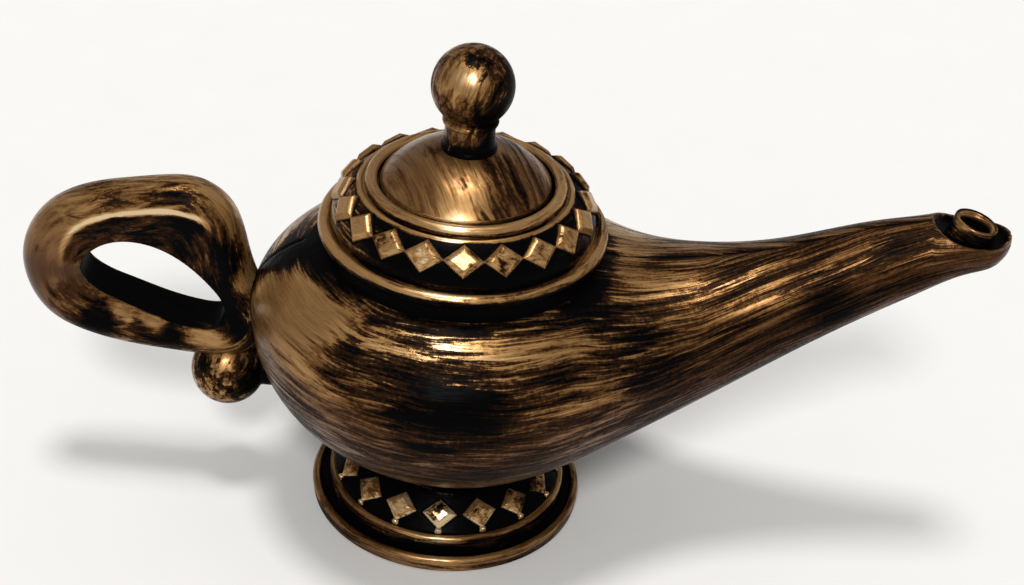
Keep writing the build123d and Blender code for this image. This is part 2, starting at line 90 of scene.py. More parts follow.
FUNNEL = 0.7
FUNNEL_D = 1.2
MOUTH_R = 30.0
COLLAR_R = 33.0
NECK_R = 35.6
NECK_H = 4.4
COLLAR_DEPTH = 8.0
SHOULDER_Z = EQ_Z + BOWL_UP * math.sqrt(1 - (NECK_R / BOWL_R) ** 2)
SEAT_Z = SHOULDER_Z + NECK_H


# Small helpers

def ramp(low, high, value):
    """Smooth step from 0 at low to 1 at high."""
    t = np.clip((np.asarray(value, float) - low) / (high - low), 0, 1)
    return t * t * (3 - 2 * t)


def bell(distance, width):
    """1 at no distance, falling away past the width."""
    return np.exp(-((distance / width) ** 2))


def xyz(x, y, z):
    """Points or directions from their three parts, spread over one layout."""
    return np.stack(np.broadcast_arrays(x, y, z), axis=-1)


def lengths(points):
    """Running length along a line of points."""
    step = np.linalg.norm(np.diff(points, axis=0), axis=1)
    return np.concatenate([[0.0], np.cumsum(step)])


def resample(target, run, table):
    """The columns of a table read off at places along its run."""
    return np.stack([np.interp(target, run, column) for column in table.T], axis=1)


def slopes(places, values, closed=False):
    """Slopes at the places of the smooth cubic curve through rows of values."""
    gap = np.diff(places)
    rise = np.diff(values, axis=0) / gap[:, None]
    count = len(gap) if closed else len(gap) + 1
    system = np.zeros((count, count))
    right = np.zeros((count, values.shape[1]))
    for i in range(count) if closed else range(1, count - 1):
        system[i, i - 1] += gap[i]
        system[i, i] += 2 * (gap[i - 1] + gap[i])
        system[i, (i + 1) % count] += gap[i - 1]
        right[i] = 3 * (gap[i] * rise[i - 1] + gap[i - 1] * rise[i])
    if not closed:
        system[0, :2] = (2, 1)
        system[-1, -2:] = (1, 2)
        right[0] = 3 * rise[0]
        right[-1] = 3 * rise[-1]
    return np.linalg.solve(system, right)


def hermite(t, gap, start, start_rate, end, end_rate):
    """Cubic between two values with given slopes."""
    return (
        (1 + 2 * t) * (1 - t) ** 2 * start
        + t * (1 - t) ** 2 * gap * start_rate
        + t * t * (3 - 2 * t) * end
        + t * t * (t - 1) * gap * end_rate
    )


def loop_curve(points, count):
    """Even points along the smooth closed curve through the given points."""
    around = np.array([*points, points[0]], float)
    places = lengths(around)
    gap = np.diff(places)
    rate = slopes(places, around, closed=True)
    rate = np.vstack([rate, rate[:1]])
    t = np.linspace(0, 1, 200, endpoint=False)[:, None]
    fine = [hermite(t, gap[i], around[i], rate[i], around[i + 1], rate[i + 1]) for i in range(len(gap))]
    fine = np.vstack(fine + [around[:1]])
    run = lengths(fine)
    return resample(np.linspace(0, run[-1], count, endpoint=False), run, fine)


def circle_through(a, b, c):
    """Centre and radius of the circle through three points."""
    (ax, ay), (bx, by), (cx, cy) = a, b, c
    d = 2 * (ax * (by - cy) + bx * (cy - ay) + cx * (ay - by))
    a2, b2, c2 = (x * x + y * y for x, y in (a, b, c))
    x = (a2 * (by - cy) + b2 * (cy - ay) + c2 * (ay - by)) / d
    y = (a2 * (cx - bx) + b2 * (ax - cx) + c2 * (bx - ax)) / d
    return x, y, math.hypot(ax - x, ay - y)


def arc_through(a, b, c, count):
    """Points on the circle through three points, from the first to the last."""
    x, y, radius = circle_through(a, b, c)
    start = math.atan2(a[1] - y, a[0] - x)
    end = math.atan2(c[1] - y, c[0] - x)
    return [(x + radius * math.cos(t), y + radius * math.sin(t)) for t in np.linspace(start, end, count)]


def in_scene(name, data):
    """New object that is linked to the scene."""
    made = bpy.data.objects.new(name, data)
    bpy.context.scene.collection.objects.link(made)
    return made


class Skin:
    """Vertices with paint values, and faces, gathered before they become a mesh."""

    def __init__(self):
        self.parts = []
        self.faces = []
        self.count = 0

    def add(self, points, flow, gold, tone):
        """Adds an array of vertices and gives their numbers in the same layout."""
        shape = points.shape[:-1]
        flow = np.broadcast_to(flow, points.shape)
        gold, tone = (np.broadcast_to(value, shape).reshape(-1) for value in (gold, tone))
        self.parts.append((points.reshape(-1, 3), flow.reshape(-1, 3), gold, tone))
        numbers = np.arange(self.count, self.count + gold.size).reshape(shape)
        self.count += gold.size
        return numbers

    def quads(self, numbers, around=False):
        """Faces of a grid of vertices, closed along its first direction if asked."""
        if around:
            numbers = np.vstack([numbers, numbers[:1]])
        corners = (numbers[:-1, :-1], numbers[1:, :-1], numbers[1:, 1:], numbers[:-1, 1:])
        self.faces.extend(zip(*(corner.ravel().tolist() for corner in corners)))

    def bridge(self, line_a, line_b):
        """Faces between two lines of vertices."""
        self.quads(np.stack([line_a, line_b], axis=1))

    def make(self, name, sharp=38.0, weld=0.004, mirror=False):
        """Closed, smooth-shaded mesh object in metres."""
        points, flow, gold, tone = (np.concatenate(part) for part in zip(*self.parts))
        mesh = bpy.data.meshes.new(name)
        scale = np.array([MM, -MM if mirror else MM, MM])
        mesh.from_pydata((points * scale).tolist(), [], self.faces)
        layer = mesh.attributes.new("flow", "FLOAT_VECTOR", "POINT")
        layer.data.foreach_set("vector", flow.astype(np.float32).ravel())
        for label, values in (("gold", gold), ("tone", tone)):
            layer = mesh.attributes.new(label, "FLOAT", "POINT")
            layer.data.foreach_set("value", values.astype(np.float32))
        work = bmesh.new()
        work.from_mesh(mesh)
        bmesh.ops.remove_doubles(work, verts=work.verts, dist=weld * MM)
        bmesh.ops.dissolve_degenerate(work, edges=work.edges, dist=weld * MM / 4)
        bmesh.ops.recalc_face_normals(work, faces=work.faces)
        work.to_mesh(mesh)
        work.free()
        smooth(mesh, sharp)
        return in_scene(name, mesh)


def smooth(mesh, sharp):
    """Smooth shading, with edges sharper than the angle left crisp."""
    mesh.polygons.foreach_set("use_smooth", [True] * len(mesh.polygons))
    mesh.set_sharp_from_angle(angle=math.radians(sharp))


# Bowl and spout

def scoop_height(x):
    """Height of the scooped face at a distance along the spout."""
    face = [(BOWL_R + NOSE_REACH + p, EQ_Z + NOSE_HEIGHT + q) for p, q in SCOOP]
    mid_x, mid_z, radius = circle_through(*face)
    return mid_z - np.sqrt(np.maximum(radius**2 - (np.asarray(x) - mid_x) ** 2, 0))


def sections(grow):
    """Cross-sections along X as (x, side height, half width, top, bottom)."""
    rows = []

    def oval(x, side, share, half, up, down):
        half, up, down = ((size + grow) * share for size in (half, up, down))
        rows.append((x, side, half, side + up, side - down))

    for step in range(-LEADS, LEADS + 1):
        x = step * LEAD
        oval(x, EQ_Z, math.sqrt(1 - (x / (BOWL_R + grow)) ** 2), BOWL_R, BOWL_UP, BOWL_DOWN)
    for reach, side, half, top, low in SPOUT:
        rows.append((BOWL_R + reach, EQ_Z + side, half + grow, EQ_Z + top + grow, EQ_Z + low - grow))
    for step in NOSE_STEPS:
        x = BOWL_R + NOSE_REACH + step * (NOSE_LEN + grow)
        side = EQ_Z + NOSE_HEIGHT + step * NOSE_LIFT
        oval(x, side, math.sqrt(1 - step**2), NOSE_HALF_W, NOSE_UP, NOSE_DOWN)
    return np.array(rows)


def widen(u):
    """Share of a quarter curve's run across at a place along it."""
    return 3 * (1 - u) ** 2 * u * BEZIER + 3 * (1 - u) * u * u + u**3


def sink(u):
    """Share of a quarter curve's height left at a place along it."""
    return (1 - u) ** 3 + 3 * (1 - u) ** 2 * u + 3 * (1 - u) * u * u * BEZIER


def crowd(share):
    """Shares from 0 to 1, moved closer together toward 0."""
    return 0.35 * share**2.2 + 0.65 * share


# Rows of the grid, from the handle's side to the spout's end, and its columns
LEFT_ROWS = 78
MOUTH_ROWS = 30
NECK_ROWS = 66
SCOOP_ROWS = 48
NOSE_ROWS = 12
UPPER = 34
LOWER = 44
SCOOP_FIRST = LEFT_ROWS + MOUTH_ROWS + NECK_ROWS - 2
SCOOP_LAST = SCOOP_FIRST + SCOOP_ROWS - 1
RUN_STEPS = 6000
FINE_U = np.linspace(0, 1, 801)


def form_grid(grow, drop):
    """One side of the bowl and spout: rows along, columns from top to bottom."""
    rows = sections(grow)
    places = lengths(rows)
    rates = slopes(places, rows)
    run = np.linspace(places[LEADS], places[-1], RUN_STEPS)
    index = np.clip(np.searchsorted(places, run, side="right") - 1, 0, len(places) - 2)
    gap = (places[index + 1] - places[index])[:, None]
    t = (run - places[index])[:, None] / gap
    fine = hermite(t, gap, rows[index], rates[index], rows[index + 1], rates[index + 1])
    over = fine[:, 3] - (scoop_height(fine[:, 0]) - drop)
    cut_off = np.where((over > 0) & (fine[:, 0] > BOWL_R + NOSE_REACH - SCOOP_ROOM))[0]
    first = run[cut_off[0]]
    last = run[cut_off[-1]]
    hole = COLLAR_R + GLUE
    mouth = np.interp(hole * np.sin(np.linspace(0, math.pi / 2, MOUTH_ROWS)), fine[:, 0], run)
    neck = np.linspace(mouth[-1], first, NECK_ROWS)[1:]
    scoop = first + (last - first) * (0.5 - 0.5 * np.cos(np.linspace(0, math.pi, SCOOP_ROWS)))[1:]
    nose = last + (run[-1] - last) * np.sin(np.linspace(0, math.pi / 2, NOSE_ROWS))[1:]
    x, side, half, top, low = resample(np.concatenate([mouth, neck, scoop, nose]), run, fine).T
    # The upper columns start at the collar's hole or at the edge of the scoop
    start = np.zeros(len(x))
    for i in range(len(x)):
        if x[i] < hole - 1e-6:
            edge = math.sqrt(hole**2 - x[i] ** 2)
            start[i] = np.interp(edge, half[i] * widen(FINE_U), FINE_U)
        elif SCOOP_FIRST < LEFT_ROWS + i < SCOOP_LAST:
            edge = scoop_height(x[i]) - drop
            start[i] = np.interp(-edge, -(side[i] + (top[i] - side[i]) * sink(FINE_U)), FINE_U)
    x, side, half, top, low, start = (part[:, None] for part in (x, side, half, top, low, start))
    # Columns crowd toward the seam, so that its groove can be fine
    u = start + (1 - start) * crowd(np.linspace(0, 1, UPPER))
    v = 1 - crowd(1 - np.linspace(0, 1, LOWER + 1)[1:])
    y = np.hstack([half * widen(u), half * sink(v)])
    z = np.hstack([side + (top - side) * sink(u), side + (low - side) * widen(v)])
    angle = np.radians(np.linspace(180, 90, LEFT_ROWS + 1))[:-1, None]
    return np.vstack([xyz(np.cos(angle) * y[0], -np.sin(angle) * y[0], z[0]), xyz(x, -y, z)])


def nozzle_axis(height):
    """Where the nozzle's axis passes a height, along X."""
    top = EQ_Z + NOSE_HEIGHT + NOZZLE_RISE
    return BOWL_R + NOSE_REACH - (top - height) * math.tan(NOZZLE_TILT)


LIP_MARKS = LIP * np.array([0.12, 0.3, 0.5, 0.8, 1.0, 1.15, 1.3])  # rows across the lip and its step
FLOOR_MARKS = (0.25, 0.5, 0.75, 1.0)  # shares of the way on to the nozzle


def floor_patch(grid, drop, lip):
    """Floor between the rim of the scoop and the nozzle, one row for each row of the rim."""
    rim = grid[SCOOP_FIRST : SCOOP_LAST + 1, 0]
    centre = nozzle_axis(scoop_height(BOWL_R + NOSE_REACH) - DISH)
    angle = np.arctan2(rim[:, 1], rim[:, 0] - centre)
    angle[0] = -math.pi
    angle[-1] = 0.0
    hole_r = NOZZLE_R + GLUE
    hole = np.column_stack([centre + hole_r * np.cos(angle), hole_r * np.sin(angle)])
    reach = np.linalg.norm(hole - rim[:, :2], axis=1)
    inner = np.minimum(LIP_MARKS[-1], 0.85 * reach)
    depths = [inner * mark / LIP_MARKS[-1] for mark in LIP_MARKS]
    depths += [inner + (reach - inner) * mark for mark in FLOOR_MARKS]
    columns = [rim]
    for depth in depths:
        flat = rim[:, :2] + (hole - rim[:, :2]) * (depth / reach)[:, None]
        level = scoop_height(flat[:, 0]) - drop
        if lip:
            level = level - DISH * ramp(0.55, 1.12, depth / (inner * LIP / LIP_MARKS[-1]))
        columns.append(np.column_stack([flat, level]))
    return np.stack(columns, axis=1)


# Places where the brush left more gold, or less: x, y, z, size, amount. On the body and the
# ball, the dark places where the handle and its ball meet the bowl are partly thinner paint and
# partly painted shade, and the bright place at the handle's root is a painted highlight.
BODY_PATCHES = (
    (-42, -20, 74, 9, 0.8), (-30, -32, 76, 8, 0.7), (-48, -24, 66, 8, 0.35),
    (-25, -40, 73, 4.5, -0.8), (-41, -4, 77, 6, -1.0), (-47, -4, 73, 5, -0.8),
    (-34, -14, 79, 4.5, -0.8), (-27, -23, 80, 4, -0.5), (-16, -42, 76, 6, 0.2),
    (-4, -43, 77, 6, 0.3), (9, -42, 76, 6, 0.2), (-14, -49, 70, 8, -0.35), (2, -51, 69, 8, -0.4),
    (16, -49, 67, 8, -0.3), (25, -34, 77, 8, 0.3), (29, -41, 72, 5, -0.35), (35, -22, 79, 6, -0.45),
    (43, -6, 81, 6, 0.2), (4, -52, 63, 9, -0.34), (10, -53, 52, 12, -0.14), (26, -47, 56, 10, -0.1),
    (-36, -40, 52, 14, -0.02), (48, -26, 70, 9, -0.4), (60, -17, 78, 7, 0.36),
    (79, -12, 82, 7, 0.38), (98, -9, 90, 7, 0.24), (73, -6, 85, 6, -0.35), (94, -13, 82, 7, -0.58),
    (70, -20, 70, 10, -0.32), (111, -9, 92, 6, -0.3), (111, -6, 96, 5, 0.15), (126, -9, 94, 6, 0.15),
    (40, 20, 79, 12, 0.2), (-53, -7, 53, 6, -0.8), (-49, -13, 42, 7, -0.6), (-53, -4, 64, 4, -0.5),
    (-51.5, -11, 69, 3, 0.5), (118, -8, 95, 4, 0.05), (138, -4, 97, 4, 0.3), (-38, 28, 74, 14, 0.35),
    (20, 45, 74, 14, 0.25), (0, 54, 55, 14, -0.2), (80, 12, 82, 10, 0.25),
)
LID_PATCHES = (
    (-12, -10, 106, 8, 0.5), (-14, 5, 107, 8, 0.45), (-28, -22, 89, 5, 0.6), (-1, -20, 102, 4, 0.6),
    (0, -13.5, 106, 2.2, -0.5), (14, 2, 107, 8, 0.18), (6, -8, 109, 3.5, -0.45),
    (12, -15, 105, 4, -0.5), (-8, -3, 109, 2.5, -0.55), (-18, -9, 104, 2.5, -0.55),
    (12, -31, 87, 5, -0.2), (-30, -20, 87, 6, -0.25), (34, 4, 87, 9, -0.3), (-33, -9, 91, 7, 0.85),
    (-31, 9, 92, 9, 0.7), (33, -8, 91, 7, 0.7),
)
KNOB_PATCHES = (
    (7.0, -7.0, 122.0, 6.0, -0.8), (-6.5, -7.0, 129.0, 5.5, 0.35), (0.5, -8.5, 132.0, 3.5, 0.6),
    (0.5, -5.0, 136.0, 2.4, -0.7), (8.0, -2.0, 131.0, 4.0, -0.35), (-4.0, -8.0, 119.5, 4.0, 0.2),
    (5.5, -3.5, 116.0, 4.0, -0.55), (-3.0, -6.0, 115.0, 3.0, 0.25),
)
BALL_PATCHES = (
    (-66, -5, 39, 4, -0.5), (-61, -7, 40, 3, 0.45), (-62, -8, 31, 4, 0.3), (-53, -5, 34, 4.5, -0.8),
)
# On the foot, the first two darken the tops of the front diamonds: painted shadow of the bowl.
FOOT_PATCHES = (
    (-0.5, -27.5, 14, 1.4, -0.7), (11.5, -27, 14, 1.6, -0.6), (-22, -16, 12, 5, -0.3),
    (23, -14, 12, 6, -0.45),
)
# On the nozzle, for gold and tone alike: a painted highlight inside on the lit side and painted shade on the
# far side
NOZZLE_LIT = (
    (125.4, -2.6, 99.8, 1.8, 0.60),
    (132.5, 2.5, 100.5, 3.0, -0.35),
)
# Places where the tone is paler, or darker, in the same form: painted highlights on the front
# and top where the lamps shine, and on the knob painted shade lower down
BODY_PAINTED_HIGHLIGHTS = (
    (-4, -42, 77, 7, 0.6), (-51.5, -11, 69, 2.5, 0.6), (62, -16, 79, 6, 0.12),
    (76, -12, 82, 6, 0.18),
)
LID_PAINTED_HIGHLIGHTS = (
    (-1, -20.5, 102, 3.5, 0.6), (-2, -25, 100, 3.5, 0.45), (-3, -37, 87, 6, 0.4),
    (-3, -31, 95, 6, 0.1),
)
KNOB_PAINTED_LIGHT_AND_SHADE = (
    (0.5, -8.2, 132.5, 2.8, 0.7), (-5.0, -7.0, 130.0, 4.0, 0.15), (6.0, -5.0, 122.0, 4.0, -0.3),
    (-4.0, -7.0, 120.0, 4.0, -0.2),
)
FOOT_PAINTED_HIGHLIGHTS = (
    (-0.5, -27.5, 13, 5, 0.75), (-10.7, -27, 12.4, 4, 0.35), (10.7, -26.4, 13, 4, 0.3),
    (0, -33, 7, 5, 0.3), (0, -38, 3, 6, 0.3),
)
# Both on the front face of the handle: reach and height from the bowl, size, amount. The marks
# add and take gold; among them are painted glints on the lower arm and at the root, and dark
# places by the bowl that are partly thinner paint and partly painted shade. The second table
# makes the painted glints paler.
HANDLE_FACE_Y = -7.0
HANDLE_MARKS = (
    (35.9, 27.3, 4.0, -0.4), (18.0, 30.0, 4.0, -0.55), (50.0, -1.5, 3.0, -0.85),
    (42.0, -9.5, 5.5, -1.0), (35.5, -5.0, 1.5, 1.1), (32.5, -6.4, 1.5, 1.1), (27.0, -8.6, 1.4, 1.1),
    (24.4, -9.6, 1.4, 1.1), (30.0, -8.0, 1.6, -0.6), (20.0, -11.5, 2.0, -0.5),
    (12.0, -12.0, 3.5, 0.7), (24.0, -15.0, 5.0, -0.45), (16.4, 22.2, 2.0, -0.5),
    (9.0, -15.0, 4.0, 0.2), (5.0, -3.0, 4.0, -0.85), (2.0, -10.0, 4.0, -0.85),
    (2.0, 17.0, 3.5, -0.6), (3.0, 11.0, 2.5, -0.6), (0.0, 4.2, 2.6, 0.6),
)
HANDLE_PAINTED_GLINTS = (
    (34.0, -5.7, 2.0, 0.4), (25.7, -9.1, 2.0, 0.4), (12.0, -12.5, 2.5, 0.4), (0.0, 4.2, 2.5, 0.6),
)


def on_handle(marks):
    """Places in the same form as the others, from those given on the handle's face."""
    return [(-BOWL_R - reach, HANDLE_FACE_Y, EQ_Z + height, *rest) for reach, height, *rest in marks]


def touched(points, value, patches):
    """A paint value with its heavier and thinner places, and with painted highlights and painted shade where
    a table holds them.
    """
    value = np.broadcast_to(value, points.shape[:-1]).copy()
    for x, y, z, size, amount in patches:
        gap = points - np.array([x, y, z])
        value += amount * np.exp(-(gap**2).sum(axis=-1) / (2 * size**2))
    return value


def grid_normals(grid):
    """Outward unit normals of a grid whose rows go along and columns go down."""
    normal = np.cross(np.gradient(grid, axis=1), np.gradient(grid, axis=0))
    return normal / np.maximum(np.linalg.norm(normal, axis=2, keepdims=True), TINY)


SEAM_DEPTH = 0.28
SEAM_W = 0.45
SPOUT_ROOT_X = 20.0  # the widest upper side of the spout lies past this
SPOUT_SLIM_X = 62.0  # where the spout has become slim
REAR_SHELL_MARKS = 37.0  # moves the brush marks, so that the rear halves have their own
REAR_HANDLE_MARKS = 21.0
LIP_GOLD = (0.6, 0.35, 0.1)
DISH_GOLD = -0.2


def shell_half(name, hand):
    """One moulded half of the bowl and spout, with its wall, dish and inside."""
    skin = Skin()
    outside = form_grid(0.0, 0.0)
    inside = form_grid(-WALL, DISH + WALL)
    normal = grid_normals(outside)
    seam = np.abs(outside[:, :, 1])
    dip = SEAM_DEPTH * bell(seam, SEAM_W)
    dip[:LEFT_ROWS, : UPPER // 3] = 0.0
    grid = outside - normal * dip[:, :, None]
    middle = outside[:, UPPER - 1, :2]
    across = np.array([lengths(line) for line in grid])
    across -= across[:, UPPER - 1 : UPPER].copy()
    # On the spout the strokes draw together toward the end, so that they follow its top edge
    depth = -across[:, 0]
    peak = np.argmax(np.where(middle[:, 0] > SPOUT_ROOT_X, depth, 0))
    slim = depth[np.argmin(np.abs(middle[:, 0] - SPOUT_SLIM_X))]
    closing = depth[peak] / depth * np.minimum(depth / slim, 1) ** 0.65
    closing[:peak] = 1
    across[:, :UPPER] *= closing[:, None]
    flow = xyz(lengths(middle)[:, None] / BRUSH + REAR_SHELL_MARKS * (hand > 0), across, 0.0)
    place = grid * np.array([1, -hand, 1])
    x, y, z = np.moveaxis(grid, 2, 0)
    facing_up = normal[:, :, 2]
    from_neck = np.where(z > EQ_Z, np.hypot(x, y) - NECK_R, BOWL_R)
    out_on_spout = ramp(40, 70, x)
    gold = touched(place, 0.5, BODY_PATCHES)
    # Less gold in a band round the neck under the lid: partly unpainted plastic, partly painted shade.
    gold -= 0.62 * (1 - ramp(2.5, 7.0, from_neck))
    gold -= 0.5 * bell(seam, 0.5)
    gold -= 0.1 * ramp(EQ_Z - 30, EQ_Z - 43, z)
    gold -= 0.06 * ramp(-0.1, -0.7, facing_up)
    gold -= 0.12 * out_on_spout
    # Paler paint on faces turned up and darker on faces turned down: painted light and shade; darker out on
    # the spout, with the painted highlights added on top.
    tone = 0.02 + 0.66 * ramp(-0.5, 0.9, facing_up) - 0.3 * out_on_spout
    numbers = skin.add(grid, flow, gold, touched(place, tone, BODY_PAINTED_HIGHLIGHTS))
    skin.quads(numbers)
    lining = skin.add(inside, inside / 10, BARE, 0.0)
    skin.quads(lining)
    scoop = slice(SCOOP_FIRST, SCOOP_LAST + 1)
    patch = floor_patch(outside, 0.0, True)[:, 1:]
    shade = np.full(patch.shape[:2], DISH_GOLD)
    shade[:, : len(LIP_GOLD)] = LIP_GOLD
    dish = skin.add(patch, patch / 3, shade, 0.5)
    dish = np.hstack([numbers[scoop, :1], dish])
    skin.quads(dish)
    patch = floor_patch(inside, DISH + WALL, False)[:, 1:]
    roof = skin.add(patch, patch / 3, BARE, 0.0)
    roof = np.hstack([lining[scoop, :1], roof])
    skin.quads(roof)
    before = slice(0, SCOOP_FIRST + 1)
    after = slice(SCOOP_LAST, None)
    for edge in ((0, slice(None)), (before, 0), (after, 0), (slice(None), -1)):
        skin.bridge(numbers[edge], lining[edge])
    for edge in ((0, slice(None)), (-1, slice(None)), (slice(None), -1)):
        skin.bridge(dish[edge], roof[edge])
    for layer, tip in ((numbers, grid[-1]), (lining, inside[-1])):
        centre = tip.mean(axis=0) * np.array([1, 0, 1])
        pole = skin.add(np.tile(centre, (len(tip), 1)), flow[-1], gold[-1], 0.5)
        skin.bridge(layer[-1], pole)
    return skin.make(name, mirror=hand > 0)


# Turned pieces

class Profile:
    """Half outline of a turned piece, as rows of (radius, height, gold, tone)."""

    def __init__(self):
        self.rows = []

    def line(self, *points, gold=0.5, tone=0.6):
        self.rows += [(*point, gold, tone) for point in points]
        return self

    def arc(self, centre, radius, start, sweep, gold=0.5, tone=0.6):
        for step in np.linspace(0, 1, 24):
            angle = math.radians(start + sweep * step)
            point = (centre[0] + radius * math.cos(angle), centre[1] + radius * math.sin(angle))
            self.line(point, gold=gold, tone=tone)
        return self

    def bead(self, centre, radius, start, *parts):
        """Arcs that follow on, each with its sweep, gold and tone."""
        for sweep, gold, tone in parts:
            self.arc(centre, radius, start, sweep, gold, tone)
            start += sweep

    def even(self, step, soft, closed=True):
        """Evenly spaced rows, with softened corners."""
        table = np.array(self.rows, float)
        if closed:
            table = np.vstack([table, table[:1]])
        run = lengths(table[:, :2])
        keep = np.concatenate([[True], np.diff(run) > TINY])
        run = run[keep]
        count = max(8, int(round(run[-1] / step)))
        rows = resample(np.linspace(0, run[-1], count + 1), run, table[keep])
        gap = run[-1] / count
        reach = max(1, int(round(2.5 * soft / gap)))
        kernel = np.exp(-0.5 * (np.arange(-reach, reach + 1) * gap / soft) ** 2)
        kernel /= kernel.sum()
        if closed:
            rows = rows[:-1]
            head = rows[-reach:]
            tail = rows[:reach]
        else:
            head = 2 * rows[0] - rows[reach:0:-1]
            tail = 2 * rows[-1] - rows[-2 : -reach - 2 : -1]
        padded = np.vstack([head, rows, tail])
        return np.stack([np.convolve(column, kernel, mode="valid") for column in padded.T], axis=1)


def spin(rows, count):
    """Points of a turned form, one ring of points for each row from the front, and their angles."""
    angle = np.linspace(0, 2 * math.pi, count, endpoint=False) - math.pi / 2
    radius = rows[:, 0]
    return xyz(np.cos(angle)[:, None] * radius, np.sin(angle)[:, None] * radius, rows[:, 1]), angle


def round_flow(points, run):
    """Brush marks that go round the axis."""
    return xyz(points[..., 0] / BRUSH, points[..., 1] / BRUSH, run)


def lathe(name, profile, count, step, soft, closed=True, flow=round_flow, place=None, patches=(), pale=()):
    """Turned piece as a closed mesh; place moves its points where they belong."""
    rows = profile.even(step, soft, closed)
    points, _ = spin(rows, count)
    values = flow(points, lengths(rows[:, :2]))
    if place is not None:
        points = place(points)
    skin = Skin()
    gold = touched(points, rows[:, 2], patches)
    numbers = skin.add(points, values, gold, touched(points, rows[:, 3], pale))
    if closed:
        numbers = np.hstack([numbers, numbers[:, :1]])
    skin.quads(numbers, around=True)
    return skin.make(name)


# Ring of raised diamonds: how many, turn of the first, half width, reach above and below the middle,
# rise, share of the top that is flat, gold, paler rim, paler middle, and radius of a pearl below
Stud = namedtuple("Stud", "count start half_w head foot rise flat gilding trim heart pearl")
LID_STUD = Stud(20, math.radians(3.2), 5.4, 4.3, 4.5, 1.25, 0.55, 0.8, 0.1, 0.25, 0.0)
FOOT_STUD = Stud(16, 0.0, 4.9, 4.0, 4.6, 1.5, 0.4, 0.85, 0.8, -0.1, 0.9)
COARSE = 12  # points round for each diamond, away from the band
FINER = 4  # times as many on the band
STUD_SHARP = 42.0


def row_near(rows, point):
    """Number of the outline's row nearest a point."""
    return int(np.argmin(np.hypot(rows[:, 0] - point[0], rows[:, 1] - point[1])))


def studded(name, rows, foot, middle, head, stud, flow, patches, pale):
    """Turned piece with raised diamonds on the band of its outline from foot to head."""
    up_dir = np.subtract(head, foot)
    up_dir = up_dir / np.linalg.norm(up_dir)
    out_dir = np.array([up_dir[1], -up_dir[0]])
    first = row_near(rows, foot)
    last = row_near(rows, head)
    run = lengths(rows[:, :2])
    skin = Skin()
    band = rows[first : last + 1]
    coarse = COARSE * stud.count
    fine = FINER * coarse
    points, angle = spin(band, fine)
    pitch = 2 * math.pi / stud.count
    turn = (angle + math.pi / 2 - stud.start + pitch / 2) % pitch - pitch / 2
    reach = band[:, 0] * np.cos(turn)[:, None] - middle[0]
    level = band[:, 1] - middle[1]
    across = band[:, 0] * np.sin(turn)[:, None]
    up = reach * up_dir[0] + level * up_dir[1]
    out = reach * out_dir[0] + level * out_dir[1]
    # Each stands as a flat-topped pyramid over a kite; the share is 0 on the kite's edge
    share = 1 - (np.abs(across) / stud.half_w + np.where(up > 0, up / stud.head, -up / stud.foot))
    height = stud.rise * ramp(-0.25 * (1 - stud.flat), 1 - stud.flat, share)
    standing = ramp(0.0, 0.07, share)
    rim = bell(share - 0.1, 0.08) * ramp(0.5, -1.0, up)
    tone = band[:, 3] + stud.trim * rim + stud.heart * ramp(0.15, 0.45, share)
    lift = standing * np.maximum(height - out, 0)
    gold = band[:, 2] * (1 - standing) + stud.gilding * standing
    gold = gold - 0.45 * bell(share + 0.03, 0.07)
    if stud.pearl:
        gap = np.hypot(across, up + stud.foot)
        bump = np.sqrt(np.maximum(stud.pearl**2 - gap**2, 0))
        lift = np.maximum(lift, bump + 0.2 * (bump > 0))
        gold = np.where(bump > 0, stud.gilding + 0.2, gold)
        tone = tone + 0.5 * (bump > 0)
    order = np.arange(len(band))
    lift = lift * ramp(0, 2, order) * ramp(0, 2, order[::-1])
    spoke = lift * out_dir[0]
    points = points + xyz(spoke * np.cos(angle)[:, None], spoke * np.sin(angle)[:, None], lift * out_dir[1])
    blot = standing[..., None]
    values = flow(points, run[first : last + 1]) * (1 - blot) + 0.7 * points * blot
    on_band = skin.add(points, values, touched(points, gold, patches), touched(points, tone, pale))
    skin.quads(on_band, around=True)
    rest = np.vstack([rows[last:], rows[: first + 1]])
    points, _ = spin(rest, coarse)
    values = flow(points, np.concatenate([run[last:], run[: first + 1]]))
    gold = touched(points, rest[:, 2], patches)
    tone = touched(points, rest[:, 3], pale)
    inner = skin.add(*(part[:, 1:-1] for part in (points, values, gold, tone)))
    skin.quads(inner, around=True)
    # Fans of faces join the fine band to the coarser rest
    half = FINER // 2
    for edge, line in ((on_band[:, -1], inner[:, 0]), (on_band[:, 0], inner[:, -1])):
        edge = edge.tolist()
        line = line.tolist()
        for k in range(coarse):
            corner = k * FINER
            follow = line[(k + 1) % coarse]
            for m in range(corner, corner + FINER):
                skin.faces.append((edge[m], edge[(m + 1) % fine], line[k] if m < corner + half else follow))
            skin.faces.append((edge[corner + half], follow, line[k]))
    return skin.make(name, STUD_SHARP, weld=0.002)


# Lid: its outline goes from the skirt round the outside and back inside
LID_R = 37.5
LID_BEAD = 1.8
SKIRT_R = MOUTH_R - 0.3
SKIRT_T = 2.0
SKIRT_L = 6.0
BAND_FOOT = (34.0, 5.2)
BAND_MID = (31.4, 10.7)
BAND_HEAD = (27.7, 13.5)
BORDER = 0.6
CROWN_R = 24.2
CROWN = 1.6
CROWN_H = 14.6
DOME_R = 21.6
DOME_BASE = 15.8
DOME_H = 10.0
KNOB_BASE_R = 7.2
SCREW_HOLE_R = 1.55
CAP_R = (DOME_R**2 + DOME_H**2) / (2 * DOME_H)
CAP_H = DOME_BASE + DOME_H - CAP_R
PAD_H = CAP_H + math.sqrt(CAP_R**2 - KNOB_BASE_R**2)


